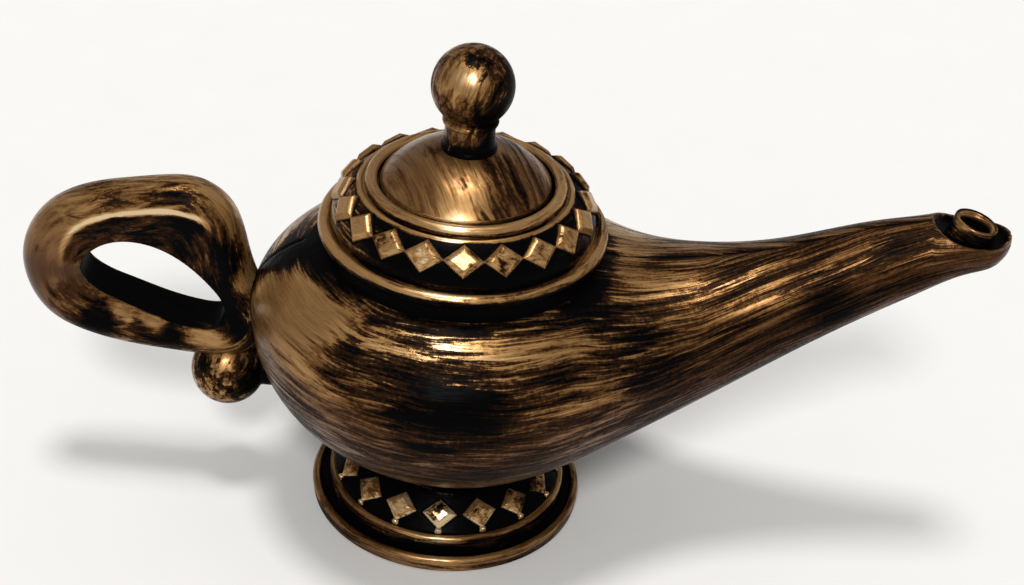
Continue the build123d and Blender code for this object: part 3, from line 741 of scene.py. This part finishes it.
def lid_profile():
    bore = SKIRT_R - SKIRT_T
    edge = (LID_R - LID_BEAD, LID_BEAD)
    cap_start = math.degrees(math.acos(DOME_R / CAP_R))
    cap_end = math.degrees(math.acos(KNOB_BASE_R / CAP_R))
    vault_start = math.degrees(math.acos((DOME_R - WALL) / CAP_R))
    made = Profile()
    made.line((SKIRT_R, 0.0), gold=-0.6)
    made.line((LID_R - LID_BEAD, 0.0), gold=-0.2)
    made.bead(edge, LID_BEAD, -90, (105, -0.1, 0.3), (80, 0.8, 0.8), (55, 0.15, 0.5))
    made.line(BAND_FOOT, gold=-0.15)
    made.line(*arc_through(BAND_FOOT, BAND_MID, BAND_HEAD, 30)[1:-1], gold=-0.35)
    made.line(BAND_HEAD, gold=0.45)
    made.arc((BAND_HEAD[0] - BORDER, BAND_HEAD[1]), BORDER, 0, 180, gold=0.85, tone=0.75)
    made.line((CROWN_R + 1.0, BAND_HEAD[1] - 0.5), gold=-0.3)
    made.bead((CROWN_R, CROWN_H), CROWN, -50, (60, 0.1, 0.6), (150, 0.85, 0.75), (70, 0.0, 0.6))
    made.line((DOME_R + 0.4, DOME_BASE - 1.4), gold=-0.4)
    made.arc((0, CAP_H), CAP_R, cap_start, cap_end - cap_start, gold=0.56, tone=0.38)
    made.line((KNOB_BASE_R - 1.0, PAD_H), gold=-0.3)
    made.line((SCREW_HOLE_R, PAD_H), (SCREW_HOLE_R, PAD_H - WALL), gold=-1.0)
    made.arc((0, CAP_H - WALL), CAP_R, cap_end, vault_start - cap_end, gold=-1.0)
    made.line((DOME_R - WALL, DOME_BASE - WALL - 0.6), gold=-1.0)
    inner = (BAND_HEAD[0] - 1.9, BAND_HEAD[1] - 2.0)
    between = (BAND_MID[0] - 2.2, BAND_MID[1] - 1.6)
    outer = (BAND_FOOT[0] - 3.0, BAND_FOOT[1] - 0.6)
    made.line(*arc_through(inner, between, outer, 12), gold=-1.0)
    made.line((bore, 2.0), (bore, -SKIRT_L), (SKIRT_R, -SKIRT_L), gold=-1.0)
    return made


def lid_flow(points, run):
    """Round the beads, but straight across the dome from behind to the front."""
    radius = np.hypot(points[..., 0], points[..., 1])
    along = 0.5 * points[..., 0] - 0.87 * points[..., 1]
    aside = 0.87 * points[..., 0] + 0.5 * points[..., 1]
    sweep = 0.6 * xyz(along / 8, aside, 0.0)
    dome = ramp(DOME_R + 0.6, DOME_R - 0.2, radius)[..., None]
    return round_flow(points, run) * (1 - dome) + sweep * dome


def lid_piece():
    rows = lid_profile().even(0.3, 0.22)
    rows[:, 1] += SEAT_Z
    foot, middle, head = ((r, z + SEAT_Z) for r, z in (BAND_FOOT, BAND_MID, BAND_HEAD))
    return studded("lid_skin", rows, foot, middle, head, LID_STUD, lid_flow, LID_PATCHES, LID_PAINTED_HIGHLIGHTS)


# Foot
FOOT_R = 37.3
FOOT_WALL_R = 37.0
FOOT_RING = 2.6  # width of the ring it stands on
FOOT_BEAD = 1.2
FOOT_BEAD_Z = 3.2
GROOVE_Z = 3.2
INNER_BEAD_R = 31.5
INNER_BEAD = 1.1
INNER_BEAD_Z = 6.8
CONE_FOOT = (31.0, 8.2)
CONE_HEAD = (23.0, 16.6)
STUD_SHARE = 0.46  # of the cone's slope, where the diamonds have their middle
STEM_R = 21.6
DECK_Z = 14.2
BOSS_R = 6.5
BOSS_Z = DECK_Z - 2.7
BOLT_HOLE_R = 2.1


def under_bowl(radius):
    """Height of the bowl's underside at a distance from the axis."""
    return EQ_Z - (BOWL_DOWN + GLUE) * math.sqrt(1 - (radius / (BOWL_R + GLUE)) ** 2)


def foot_profile():
    rim = (FOOT_R - FOOT_BEAD, FOOT_BEAD_Z)
    bead = (INNER_BEAD_R, INNER_BEAD_Z)
    base = FOOT_WALL_R - 0.5
    hollow = base - FOOT_RING
    made = Profile()
    made.line((base, 0), gold=0.1, tone=0.2)
    made.line((FOOT_WALL_R, 0.5), (FOOT_WALL_R, 1.4), gold=0.35, tone=0.2)
    made.line((FOOT_WALL_R, 2.2), gold=0.2, tone=0.25)
    made.bead(rim, FOOT_BEAD, -35, (45, 0.6, 0.35), (120, 0.8, 0.5), (40, 0.1, 0.4))
    made.line((rim[0] - FOOT_BEAD - 0.2, GROOVE_Z), (bead[0] + INNER_BEAD + 0.2, GROOVE_Z), gold=-0.4)
    made.bead(bead, INNER_BEAD, -50, (60, 0.2, 0.6), (130, 0.8, 0.5), (40, 0.0, 0.6))
    made.line(CONE_FOOT, CONE_HEAD, gold=-0.35)
    made.line((STEM_R, CONE_HEAD[1] + 0.7), gold=-0.4)
    for radius in np.linspace(STEM_R, BOLT_HOLE_R, 16):
        made.line((radius, under_bowl(radius)), gold=-1.0)
    made.line((BOLT_HOLE_R, BOSS_Z), (BOSS_R, BOSS_Z), (BOSS_R, DECK_Z), gold=-1.0)
    made.line((CONE_HEAD[0] - WALL, DECK_Z), (CONE_FOOT[0] - 1.4, CONE_FOOT[1] - 4.2), gold=-1.0)
    made.line((hollow, 1.0), (hollow, 0), gold=-1.0)
    return made


def foot_piece():
    rows = foot_profile().even(0.3, 0.2)
    rows[:, 1] = np.maximum(rows[:, 1], 0)
    middle = np.add(CONE_FOOT, STUD_SHARE * np.subtract(CONE_HEAD, CONE_FOOT))
    return studded(
        "foot_skin", rows, CONE_FOOT, middle, CONE_HEAD, FOOT_STUD, round_flow, FOOT_PATCHES, FOOT_PAINTED_HIGHLIGHTS
    )


# Knob, collar, nozzle and ball

KNOB_R = 10.5
KNOB_NECK_R = 6.4
KNOB_NECK_H = 8.9
KNOB_RING = 0.8
KNOB_EDGE = 0.8


def slant_flow(lean, stretch, grain):
    """Marks that all run along one slanting direction, longer than wide by the stretch."""
    lean = np.array(lean) / np.linalg.norm(lean)
    side = np.cross(lean, [0, 1, 0])
    side = side / np.linalg.norm(side)
    turn = grain * np.stack([lean / stretch, side, np.cross(lean, side)], axis=1)

    def flow(points, run):
        return points @ turn + 5.0

    return flow


def knob_piece():
    ball_h = KNOB_NECK_H + math.sqrt(KNOB_R**2 - KNOB_NECK_R**2)
    ball_angle = math.degrees(math.acos(KNOB_NECK_R / KNOB_R))
    flare = KNOB_BASE_R - KNOB_NECK_R
    made = Profile()
    made.line((0, 0), (KNOB_BASE_R, 0), gold=-1.0)
    made.line((KNOB_BASE_R, KNOB_EDGE), gold=-0.2)
    for angle in np.radians(90 * np.linspace(0, 1, 10)):
        height = KNOB_EDGE + 2 * flare * (1 - math.cos(angle))
        made.line((KNOB_BASE_R - flare * math.sin(angle), height), gold=-0.1)
    made.line((KNOB_NECK_R, 4.0), gold=0.45, tone=0.2)
    made.line((KNOB_NECK_R, KNOB_NECK_H - 3.0), gold=0.6, tone=0.25)
    made.arc((KNOB_NECK_R, KNOB_NECK_H - 1.5 * KNOB_RING), KNOB_RING, -90, 180, gold=0.7, tone=0.6)
    made.line((KNOB_NECK_R, KNOB_NECK_H), gold=0.2, tone=0.4)
    made.arc((0, ball_h), KNOB_R, -ball_angle + 3, 87 + ball_angle, gold=0.43, tone=0.42)
    made.rows = [(r, z + (SEAT_Z + PAD_H), *paint) for r, z, *paint in made.rows]
    flow = slant_flow((-0.3, -0.35, -0.9), 4, 0.6)
    return lathe(
        "knob_skin", made, 120, 0.45, 0.25, closed=False, flow=flow, patches=KNOB_PATCHES, pale=KNOB_PAINTED_LIGHT_AND_SHADE
    )


def collar_piece():
    made = Profile()
    made.line((MOUTH_R, SEAT_Z - COLLAR_DEPTH), (COLLAR_R, SEAT_Z - COLLAR_DEPTH), gold=-1.0)
    made.line((COLLAR_R, SHOULDER_Z - 0.2), (NECK_R, SHOULDER_Z - 1.0), gold=-1.0)
    made.line((NECK_R, SEAT_Z - 0.4), gold=-0.3)
    made.line((NECK_R - 0.4, SEAT_Z), gold=-0.1)
    made.line((MOUTH_R + 0.4, SEAT_Z), gold=-0.2)
    made.line((MOUTH_R, SEAT_Z - 0.4), gold=-1.0)
    return lathe("collar_skin", made, 200, 0.45, 0.12)


def nozzle_piece():
    turn = np.array(Matrix.Rotation(NOZZLE_TILT, 3, "Y"))
    top = np.array([BOWL_R + NOSE_REACH, 0, EQ_Z + NOSE_HEIGHT + NOZZLE_RISE])
    thick = NOZZLE_R - WICK_R - FUNNEL
    made = Profile()
    made.line((WICK_R + FUNNEL, -0.3), gold=0.85, tone=0.85)
    made.line((WICK_R, -FUNNEL_D), gold=0.65, tone=0.75)
    made.line((WICK_R, -2.2), gold=0.2, tone=0.4)
    made.line((WICK_R, -4.5), gold=-0.3)
    made.line((WICK_R, -NOZZLE_L), (NOZZLE_R, -NOZZLE_L), gold=-1.0)
    made.line((NOZZLE_R, -4.0), gold=-0.2)
    made.line((NOZZLE_R, -1.4), gold=0.0, tone=0.3)
    made.arc((NOZZLE_R - thick / 2, -thick / 2), thick / 2, 20, 160, gold=0.45, tone=0.5)

    def place(points):
        return points @ turn.T + top

    return lathe("nozzle_skin", made, 96, 0.25, 0.12, place=place, patches=NOZZLE_LIT, pale=NOZZLE_LIT)


BALL_R = 10.0
BALL_REACH = 6.8
BALL_DROP = 26.6
BALL_STEM_R = 4.0
BALL_CENTRE = np.array([-BOWL_R - BALL_REACH, 0, EQ_Z - BALL_DROP])


def ball_piece():
    wall_x = -BOWL_R * math.sqrt(1 - (BALL_DROP / BOWL_DOWN) ** 2)
    stem = wall_x + 1.0 - BALL_CENTRE[0]
    made = Profile()
    edge = math.degrees(math.asin(BALL_STEM_R / BALL_R))
    for angle in np.radians(np.linspace(180, edge, 60)):
        made.line((BALL_R * math.sin(angle), BALL_R * math.cos(angle)), gold=0.42, tone=0.72)
    made.line((BALL_STEM_R, stem), (0, stem), gold=-0.2, tone=0.3)

    def place(points):
        return points[..., [2, 0, 1]] + BALL_CENTRE

    flow = slant_flow((0.8, 0.5, 0.35), 2.5, 0.6)
    return lathe("ball_skin", made, 96, 0.4, 0.25, closed=False, flow=flow, place=place, patches=BALL_PATCHES)


# Handle

HANDLE_OUTER = (
    (-4.5, -4.0), (-1.2, 4.0), (1.4, 13.0), (6.0, 25.6), (14.0, 31.0), (28.0, 30.3), (43.0, 26.8),
    (54.3, 20.0), (60.3, 8.6), (59.2, -3.2), (54.2, -11.2), (45.0, -16.4), (30.6, -19.6),
    (15.6, -20.8), (4.0, -20.2), (-4.0, -13.5),
)
HANDLE_HOLE = (
    (44.8, 4.4), (41.4, 10.2), (33.6, 13.4), (24.6, 12.4), (16.6, 8.2), (10.2, 2.4), (6.6, -4.0),
    (8.4, -9.2), (15.6, -9.9), (24.6, -7.5), (33.6, -3.9), (41.2, -0.2),
)
HANDLE_RIDGE = (
    (49.0, 6.0), (45.5, 17.6), (35.0, 23.2), (24.5, 25.4), (13.5, 24.6), (6.8, 18.0), (3.2, 6.0),
    (4.4, -8.4), (14.4, -11.6), (25.2, -9.4), (34.6, -5.8), (43.4, -2.0),
)
HANDLE_W = 15.0
HANDLE_ROUND = 7.0
SLOPE_LOW = 0.4
SLOPE_HIGH = 3.4
HANDLE_SHARP = 50.0
HANDLE_MIDDLE = np.array([25.0, 2.0])  # a place in the finger gap
HANDLE_BRUSH_R = 26.0 / 6  # size of the circle on which brush marks go round the loop
RING = 300
FACE = 34
WALL_ROWS = 8
LINE_POINTS = 3000
RIDGE_POINTS = 600


def nearest(points, line):
    """Distance from each point to a line of points."""
    found = []
    for part in np.array_split(points.reshape(-1, 2), 64):
        gap = part[:, None, :] - line[None, :, :]
        found.append(np.sqrt((gap**2).sum(axis=2)).min(axis=1))
    return np.concatenate(found).reshape(points.shape[:-1])


def within(points, line):
    """Whether each point lies inside a closed line of points."""
    x = points[..., 0]
    y = points[..., 1]
    found = np.zeros(x.shape, bool)
    for (ax, ay), (bx, by) in zip(line, np.roll(line, -1, axis=0)):
        if ay != by:
            found ^= ((ay > y) != (by > y)) & (x < (bx - ax) * (y - ay) / (by - ay) + ax)
    return found


def handle_half(name, hand):
    """One half of the loop handle: rounded outside, sloping in from a ridge to the finger gap."""
    rim_line = loop_curve(HANDLE_OUTER, LINE_POINTS)
    gap_line = loop_curve(HANDLE_HOLE, LINE_POINTS)
    order = np.linspace(0, len(gap_line), RING, endpoint=False).astype(int)
    gap = gap_line[order]
    heading = np.gradient(gap_line, axis=0)[order]
    heading = heading / np.linalg.norm(heading, axis=1)[:, None]
    aim = np.stack([heading[:, 1], -heading[:, 0]], axis=1)
    if np.sum((gap - HANDLE_MIDDLE) * aim) < 0:
        aim = -aim
    # Each spoke leaves the gap squarely and ends on the rim where it meets it
    rim = np.zeros_like(gap)
    for i in range(RING):
        offset = rim_line - gap[i]
        along = offset @ aim[i]
        off = np.abs(offset @ np.array([-aim[i][1], aim[i][0]]))
        rim[i] = rim_line[np.argmin(np.where(along > 0, off + 0.02 * along, 1e9))]
    share = 0.5 - 0.5 * np.cos(np.linspace(0, math.pi, FACE))
    flat = rim[:, None, :] + (gap - rim)[:, None, :] * share[None, :, None]
    to_rim = nearest(flat, rim_line)
    to_gap = nearest(flat, gap_line)
    bow = np.minimum(to_rim, HANDLE_ROUND)
    curve = (HANDLE_W / 2 - HANDLE_ROUND) * ramp(0, 0.3, to_rim)
    curve = curve + np.sqrt(np.maximum(HANDLE_ROUND**2 - (HANDLE_ROUND - bow) ** 2, 0))
    ridge_line = loop_curve(HANDLE_RIDGE, RIDGE_POINTS)
    to_ridge = nearest(flat, ridge_line)
    inner = within(flat, ridge_line)
    heights = [height for _, height in HANDLE_HOLE]
    low = min(heights)
    sunk = SLOPE_LOW + (SLOPE_HIGH - SLOPE_LOW) * (gap[:, 1:2] - low) / (max(heights) - low)
    slope = np.where(inner, to_ridge / (to_gap + to_ridge + TINY), 0)
    face = HANDLE_W / 2 - sunk * slope
    blend = np.clip(0.5 + (face - curve) / 0.8, 0, 1)
    depth = face * (1 - blend) + curve * blend - 0.2 * blend * (1 - blend)
    depth[:, 0] = 0.0
    front = xyz(-BOWL_R - flat[..., 0], -depth, EQ_Z + flat[..., 1])
    steps = np.linspace(0, 1, WALL_ROWS + 1)[1:]
    wall = front[:, -1:] * xyz(1.0, 1 - steps, 1.0)
    grid = np.concatenate([front, wall], axis=1)
    turn = np.linspace(0, 2 * math.pi, RING, endpoint=False)[:, None]
    across = np.array([lengths(line) for line in grid])
    along = HANDLE_BRUSH_R * np.cos(turn) + REAR_HANDLE_MARKS * (hand > 0)
    flow = xyz(along, HANDLE_BRUSH_R * np.sin(turn), 0.6 * across)
    upper = ramp(0.0, 0.6, aim[:, 1:2])
    outer = ramp(0.2, 0.8, aim[:, 0:1])
    lower = ramp(0.2, 0.8, -aim[:, 1:2])
    reach = flat[..., 0]
    # The crest along the upper ridge gets more gold and a much paler tone: partly worn paint, partly a
    # painted highlight.
    crest = bell(to_ridge, 0.75) * upper * ramp(52, 44, reach) * ramp(9, 14, reach)
    hollow = np.where(inner, ramp(0.3, 2.0, to_ridge), 0)
    left = outer * (1 - 0.5 * upper)
    gold = np.zeros(grid.shape[:2])
    gold[:, :FACE] = 0.70 + 0.65 * left + 0.8 * crest - 0.58 * hollow * upper - 0.22 * lower
    up = ramp(0.0, 0.5, -aim[:, 1:2])
    gold[:, FACE:] = 0.15 * (1 - up) - 0.5 * up
    tone = np.full(grid.shape[:2], 0.15)
    tone[:, :FACE] = 0.45 + 1.6 * crest - 0.35 * hollow * upper
    tone[:, :FACE] += 0.2 * ramp(5.0, 1.0, to_rim) * upper - 0.42 * left - 0.06 * lower
    place = grid * np.array([1, -hand, 1])
    # Painted glints, and dark places by the bowl that are partly thinner paint and partly painted shade.
    gold = touched(place, gold, on_handle(HANDLE_MARKS))
    tone = touched(place, tone, on_handle(HANDLE_PAINTED_GLINTS))
    skin = Skin()
    numbers = skin.add(grid, flow, gold, tone)
    skin.quads(np.hstack([numbers, numbers[:, :1]]), around=True)
    return skin.make(name, HANDLE_SHARP, mirror=hand > 0)


def cut(piece, *cutters):
    """Takes the cutters' room out of a piece and applies it."""
    for cutter in cutters:
        change = piece.modifiers.new("cut", "BOOLEAN")
        change.operation = "DIFFERENCE"
        change.solver = "EXACT"
        change.object = cutter
    graph = bpy.context.evaluated_depsgraph_get()
    shown = piece.evaluated_get(graph)
    mesh = bpy.data.meshes.new_from_object(shown, preserve_all_data_layers=True, depsgraph=graph)
    old = piece.data
    piece.modifiers.clear()
    piece.data = mesh
    bpy.data.meshes.remove(old)
    smooth(mesh, HANDLE_SHARP)


def bowl_cutter():
    made = Profile()
    for angle in np.linspace(-90, 90, 120):
        depth = (BOWL_UP if angle > 0 else BOWL_DOWN) + GLUE
        turn = math.radians(angle)
        made.line(((BOWL_R + GLUE) * math.cos(turn), EQ_Z + depth * math.sin(turn)))
    return lathe("bowl_room", made, 240, 1.2, 0.1, closed=False)


def ball_cutter():
    made = Profile().arc((0, 0), BALL_R + GLUE, -90, 180)
    return lathe("ball_room", made, 120, 0.6, 0.1, closed=False, place=lambda points: points + BALL_CENTRE)


# Materials

class Nodes:
    """A material's node tree with short calls to add and join nodes."""

    def __init__(self, name):
        self.material = bpy.data.materials.new(name)
        self.material.use_nodes = True
        self.tree = self.material.node_tree
        self.tree.nodes.clear()
        self.shader = self.add("ShaderNodeBsdfPrincipled", {})
        self.add("ShaderNodeOutputMaterial", {"Surface": self.shader.outputs["BSDF"]})

    def add(self, kind, inputs, **settings):
        """New node with its settings and inputs."""
        node = self.tree.nodes.new(kind)
        for key, value in settings.items():
            setattr(node, key, value)
        self.fill(node, inputs)
        return node

    def fill(self, node, inputs):
        """Sets a node's inputs, or joins them to another node's output."""
        for key, value in inputs.items():
            if hasattr(value, "is_linked"):
                self.tree.links.new(value, node.inputs[key])
            else:
                node.inputs[key].default_value = value

    def attribute(self, name, output="Fac"):
        return self.add("ShaderNodeAttribute", {}, attribute_name=name).outputs[output]

    def place(self):
        return self.add("ShaderNodeTexCoord", {}).outputs["Object"]

    def math(self, operation, a, b, c=0.0):
        return self.add("ShaderNodeMath", {0: a, 1: b, 2: c}, operation=operation).outputs[0]

    def sum(self, *pairs):
        """Weighted sum of values."""
        total = 0.0
        for value, weight in pairs:
            total = self.math("MULTIPLY_ADD", value, weight, total)
        return total

    def vector(self, operation, a, b):
        return self.add("ShaderNodeVectorMath", {0: a, 1: b}, operation=operation).outputs[0]

    def noise(self, vector, scale, detail=2.0, rough=0.5, output="Fac"):
        inputs = {"Vector": vector, "Scale": scale, "Detail": detail, "Roughness": rough}
        return self.add("ShaderNodeTexNoise", inputs).outputs[output]

    def strokes(self, flow, along, across, detail, rough=0.5):
        """Noise drawn out along the brush."""
        return self.noise(self.vector("MULTIPLY", flow, (along, across, across)), 1.0, detail, rough)

    def ramp(self, value, low, high, start=0.0, end=1.0):
        inputs = {"Value": value, "From Min": low, "From Max": high, "To Min": start, "To Max": end}
        return self.add("ShaderNodeMapRange", inputs, interpolation_type="SMOOTHSTEP").outputs["Result"]

    def mix(self, share, a, b):
        return self.add("ShaderNodeMix", {"Factor": share, 6: a, 7: b}, data_type="RGBA").outputs[2]

    def bump(self, height, distance, strength, **under):
        inputs = {"Height": height, "Distance": distance, "Strength": strength, **under}
        return self.add("ShaderNodeBump", inputs).outputs["Normal"]


def gilt_paint():
    """Glossy black plastic with gold dragged over it by a nearly dry brush."""
    n = Nodes("antique_gold_paint")
    place = n.place()
    gold = n.attribute("gold")
    wander = n.vector("ADD", n.noise(place, 30.0, output="Color"), (-0.5, -0.5, -0.5))
    flow = n.vector("ADD", n.attribute("flow", "Vector"), n.vector("MULTIPLY", wander, (0.4, 5.5, 5.5)))
    lag = n.strokes(flow, 0.05, 0.7, 1.0)
    flow = n.vector("ADD", flow, n.vector("MULTIPLY", lag, (4.0, 0.0, 0.0)))
    broad = n.strokes(flow, 0.50, 0.20, 2.0)
    bristle = n.strokes(flow, 0.85, 0.95, 3.0, 0.6)
    hair = n.strokes(flow, 1.0, 2.9, 2.0, 0.6)
    speck = n.noise(place, 900.0, 3.0, 0.7)
    # How much paint took: bare below -0.65, a brown film up to 0, then gold
    streak = n.sum((broad, 1.9), (bristle, 1.95), (hair, 0.6), (speck, 0.85))
    level = n.math("ADD", n.math("SUBTRACT", gold, 3.14), streak)
    mask = n.ramp(level, -0.2, 0.15)
    film = n.math("MULTIPLY", n.ramp(level, -0.65, -0.05), n.ramp(gold, -0.5, 0.25))
    thick = n.ramp(level, 0.0, 0.55)
    # Where the gold is solid, the marks even out
    calm = n.ramp(gold, 0.85, 1.3, 1.0, 0.4)
    grain = n.sum((broad, 1.0), (bristle, 0.75), (hair, 0.4), (thick, 0.25))
    grain = n.math("MULTIPLY", n.math("SUBTRACT", grain, 1.17), calm)
    tone = n.math("ADD", n.attribute("tone"), grain)
    dark = (0.058, 0.022, 0.0070, 1)
    brown = (0.172, 0.080, 0.025, 1)
    pale = (0.42, 0.232, 0.085, 1)
    highlight_and_brushed_edge = (0.72, 0.54, 0.32, 1)
    plastic = (0.0014, 0.0014, 0.0016, 1)
    stained = (0.034, 0.0140, 0.0050, 1)
    inside = (0.013, 0.0125, 0.012, 1)
    paint = n.mix(n.ramp(tone, 0.0, 0.5), dark, brown)
    paint = n.mix(n.ramp(tone, 0.42, 1.0), paint, pale)
    # Tones above 1 take the palest colour: painted highlights, and the palest dry-brushed edges.
    paint = n.mix(n.ramp(tone, 1.0, 1.6), paint, highlight_and_brushed_edge)
    under = n.mix(film, plastic, stained)
    under = n.mix(n.ramp(gold, BARE + 0.2, BARE + 1), inside, under)
    relief = n.math("MULTIPLY", n.sum((mask, 0.35), (hair, 0.35), (bristle, 0.4)), calm)
    dents = n.noise(place, 110.0, 2.0, 0.5)
    surface = {
        "Base Color": n.mix(mask, under, paint),
        "Metallic": n.math("MULTIPLY", mask, 0.68),
        "Roughness": n.ramp(hair, 0.3, 0.7, 0.24, 0.40),
        "Specular IOR Level": 0.015,
        "Coat Weight": n.math("MULTIPLY", thick, 0.3),
        "Coat Roughness": 0.2,
        "Normal": n.bump(dents, 0.0008, 0.5, Normal=n.bump(relief, 0.00014, 0.8)),
    }
    n.fill(n.shader, surface)
    return n.material


def bare_steel():
    """Bright zinc-plated steel with turning marks and a little dulling."""
    n = Nodes("zinc_steel")
    place = n.place()
    marks = n.noise(n.vector("MULTIPLY", place, (300.0, 300.0, 2600.0)), 1.0, 3.0, 0.6)
    stain = n.ramp(n.noise(place, 260.0, 3.0, 0.6), 0.35, 0.7)
    surface = {
        "Base Color": n.mix(stain, (0.52, 0.52, 0.50, 1), (0.36, 0.35, 0.32, 1)),
        "Metallic": 1.0,
        "Roughness": n.ramp(marks, 0.3, 0.7, 0.26, 0.42),
        "Normal": n.bump(marks, 0.00005, 0.6),
    }
    n.fill(n.shader, surface)
    return n.material


def paper_floor():
    n = Nodes("pale_floor")
    grain = n.noise(n.place(), 40.0, 3.0, 0.6)
    colour = n.mix(grain, (0.90, 0.90, 0.895, 1), (0.93, 0.93, 0.925, 1))
    n.fill(n.shader, {"Base Color": colour, "Roughness": 0.9, "Specular IOR Level": 0.1})
    return n.material


# Pieces

gilt = gilt_paint()
steel = bare_steel()

bowl_room = bowl_cutter()
ball_room = ball_cutter()
handles = [handle_half("handle_front_skin", -1), handle_half("handle_rear_skin", 1)]
bpy.context.view_layer.update()
for piece in handles:
    cut(piece, bowl_room, ball_room)
for room in (bowl_room, ball_room):
    bpy.data.objects.remove(room)

MADE = (
    (shell_half("body_front_skin", -1), "body_front_shell", "lamp"),
    (shell_half("body_rear_skin", 1), "body_rear_shell", "lamp"),
    (collar_piece(), "mouth_collar", "lamp"),
    (nozzle_piece(), "wick_nozzle", "lamp"),
    (handles[0], "handle_front_half", "lamp"),
    (handles[1], "handle_rear_half", "lamp"),
    (ball_piece(), "handle_ball", "lamp"),
    (foot_piece(), "foot", "lamp"),
    (lid_piece(), "lid_shell", "lid"),
    (knob_piece(), "knob", "lid"),
)
for piece, node, body in MADE:
    piece.data.materials.clear()
    piece.data.materials.append(gilt)
    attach(piece, body)
    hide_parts(node)

for name in ("foot_bolt", "foot_washer", "foot_nut", "knob_washer", "knob_screw"):
    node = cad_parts[name]
    node.data.materials.clear()
    node.data.materials.append(steel)

# Floor, lights and camera

FLOOR_R = 30.0  # metres
floor_mesh = bpy.data.meshes.new("floor")
work = bmesh.new()
bmesh.ops.create_circle(work, cap_ends=True, segments=96, radius=FLOOR_R)
work.to_mesh(floor_mesh)
work.free()
floor = in_scene("floor", floor_mesh)
floor.location.z = -0.0001
floor_mesh.materials.append(paper_floor())

world = bpy.data.worlds.new("studio")
world.use_nodes = True
background = world.node_tree.nodes["Background"].inputs
background["Color"].default_value = (1.0, 0.99, 0.975, 1)
background["Strength"].default_value = 0.32
bpy.context.scene.world = world

# Name, strength, spread in degrees, heading
LIGHTS = (
    ("front", 1.40, 12, (0.03, 0.69, -0.72)),
    ("overhead", 1.30, 13, (0.05, 0.02, -1.0)),
)
for name, energy, spread, heading in LIGHTS:
    light_data = bpy.data.lights.new(name, "SUN")
    light_data.energy = energy
    light_data.angle = math.radians(spread)
    light_data.color = (1.0, 0.985, 0.96)
    light = in_scene(name, light_data)
    light.rotation_euler = Vector(heading).to_track_quat("-Z", "Y").to_euler()

# The camera that was fitted to the rings of the lid and foot in the photograph
PITCH = 0.58660
ROLL = 0.08831
CAMERA_SPOT = Vector((0.01401, -0.42102, 0.34644))
SENSOR = 36.0
FOCAL_PIXELS = 1918.59
PHOTO_WIDTH = 1024
ahead = Vector((0, math.cos(PITCH), -math.sin(PITCH)))
across = Vector((1, 0, 0))
upward = across.cross(ahead)
right = math.cos(ROLL) * across + math.sin(ROLL) * upward
top = -math.sin(ROLL) * across + math.cos(ROLL) * upward
camera_data = bpy.data.cameras.new("camera")
camera_data.sensor_width = SENSOR
camera_data.lens = SENSOR * FOCAL_PIXELS / PHOTO_WIDTH
camera_data.clip_start = 0.01
camera_data.clip_end = 100.0
camera = in_scene("camera", camera_data)
turn = Matrix((right, top, -ahead)).transposed().to_4x4()
camera.matrix_world = Matrix.Translation(CAMERA_SPOT) @ turn
bpy.context.scene.camera = camera

bpy.context.scene.view_settings.view_transform = "Standard"

bpy.context.view_layer.update()
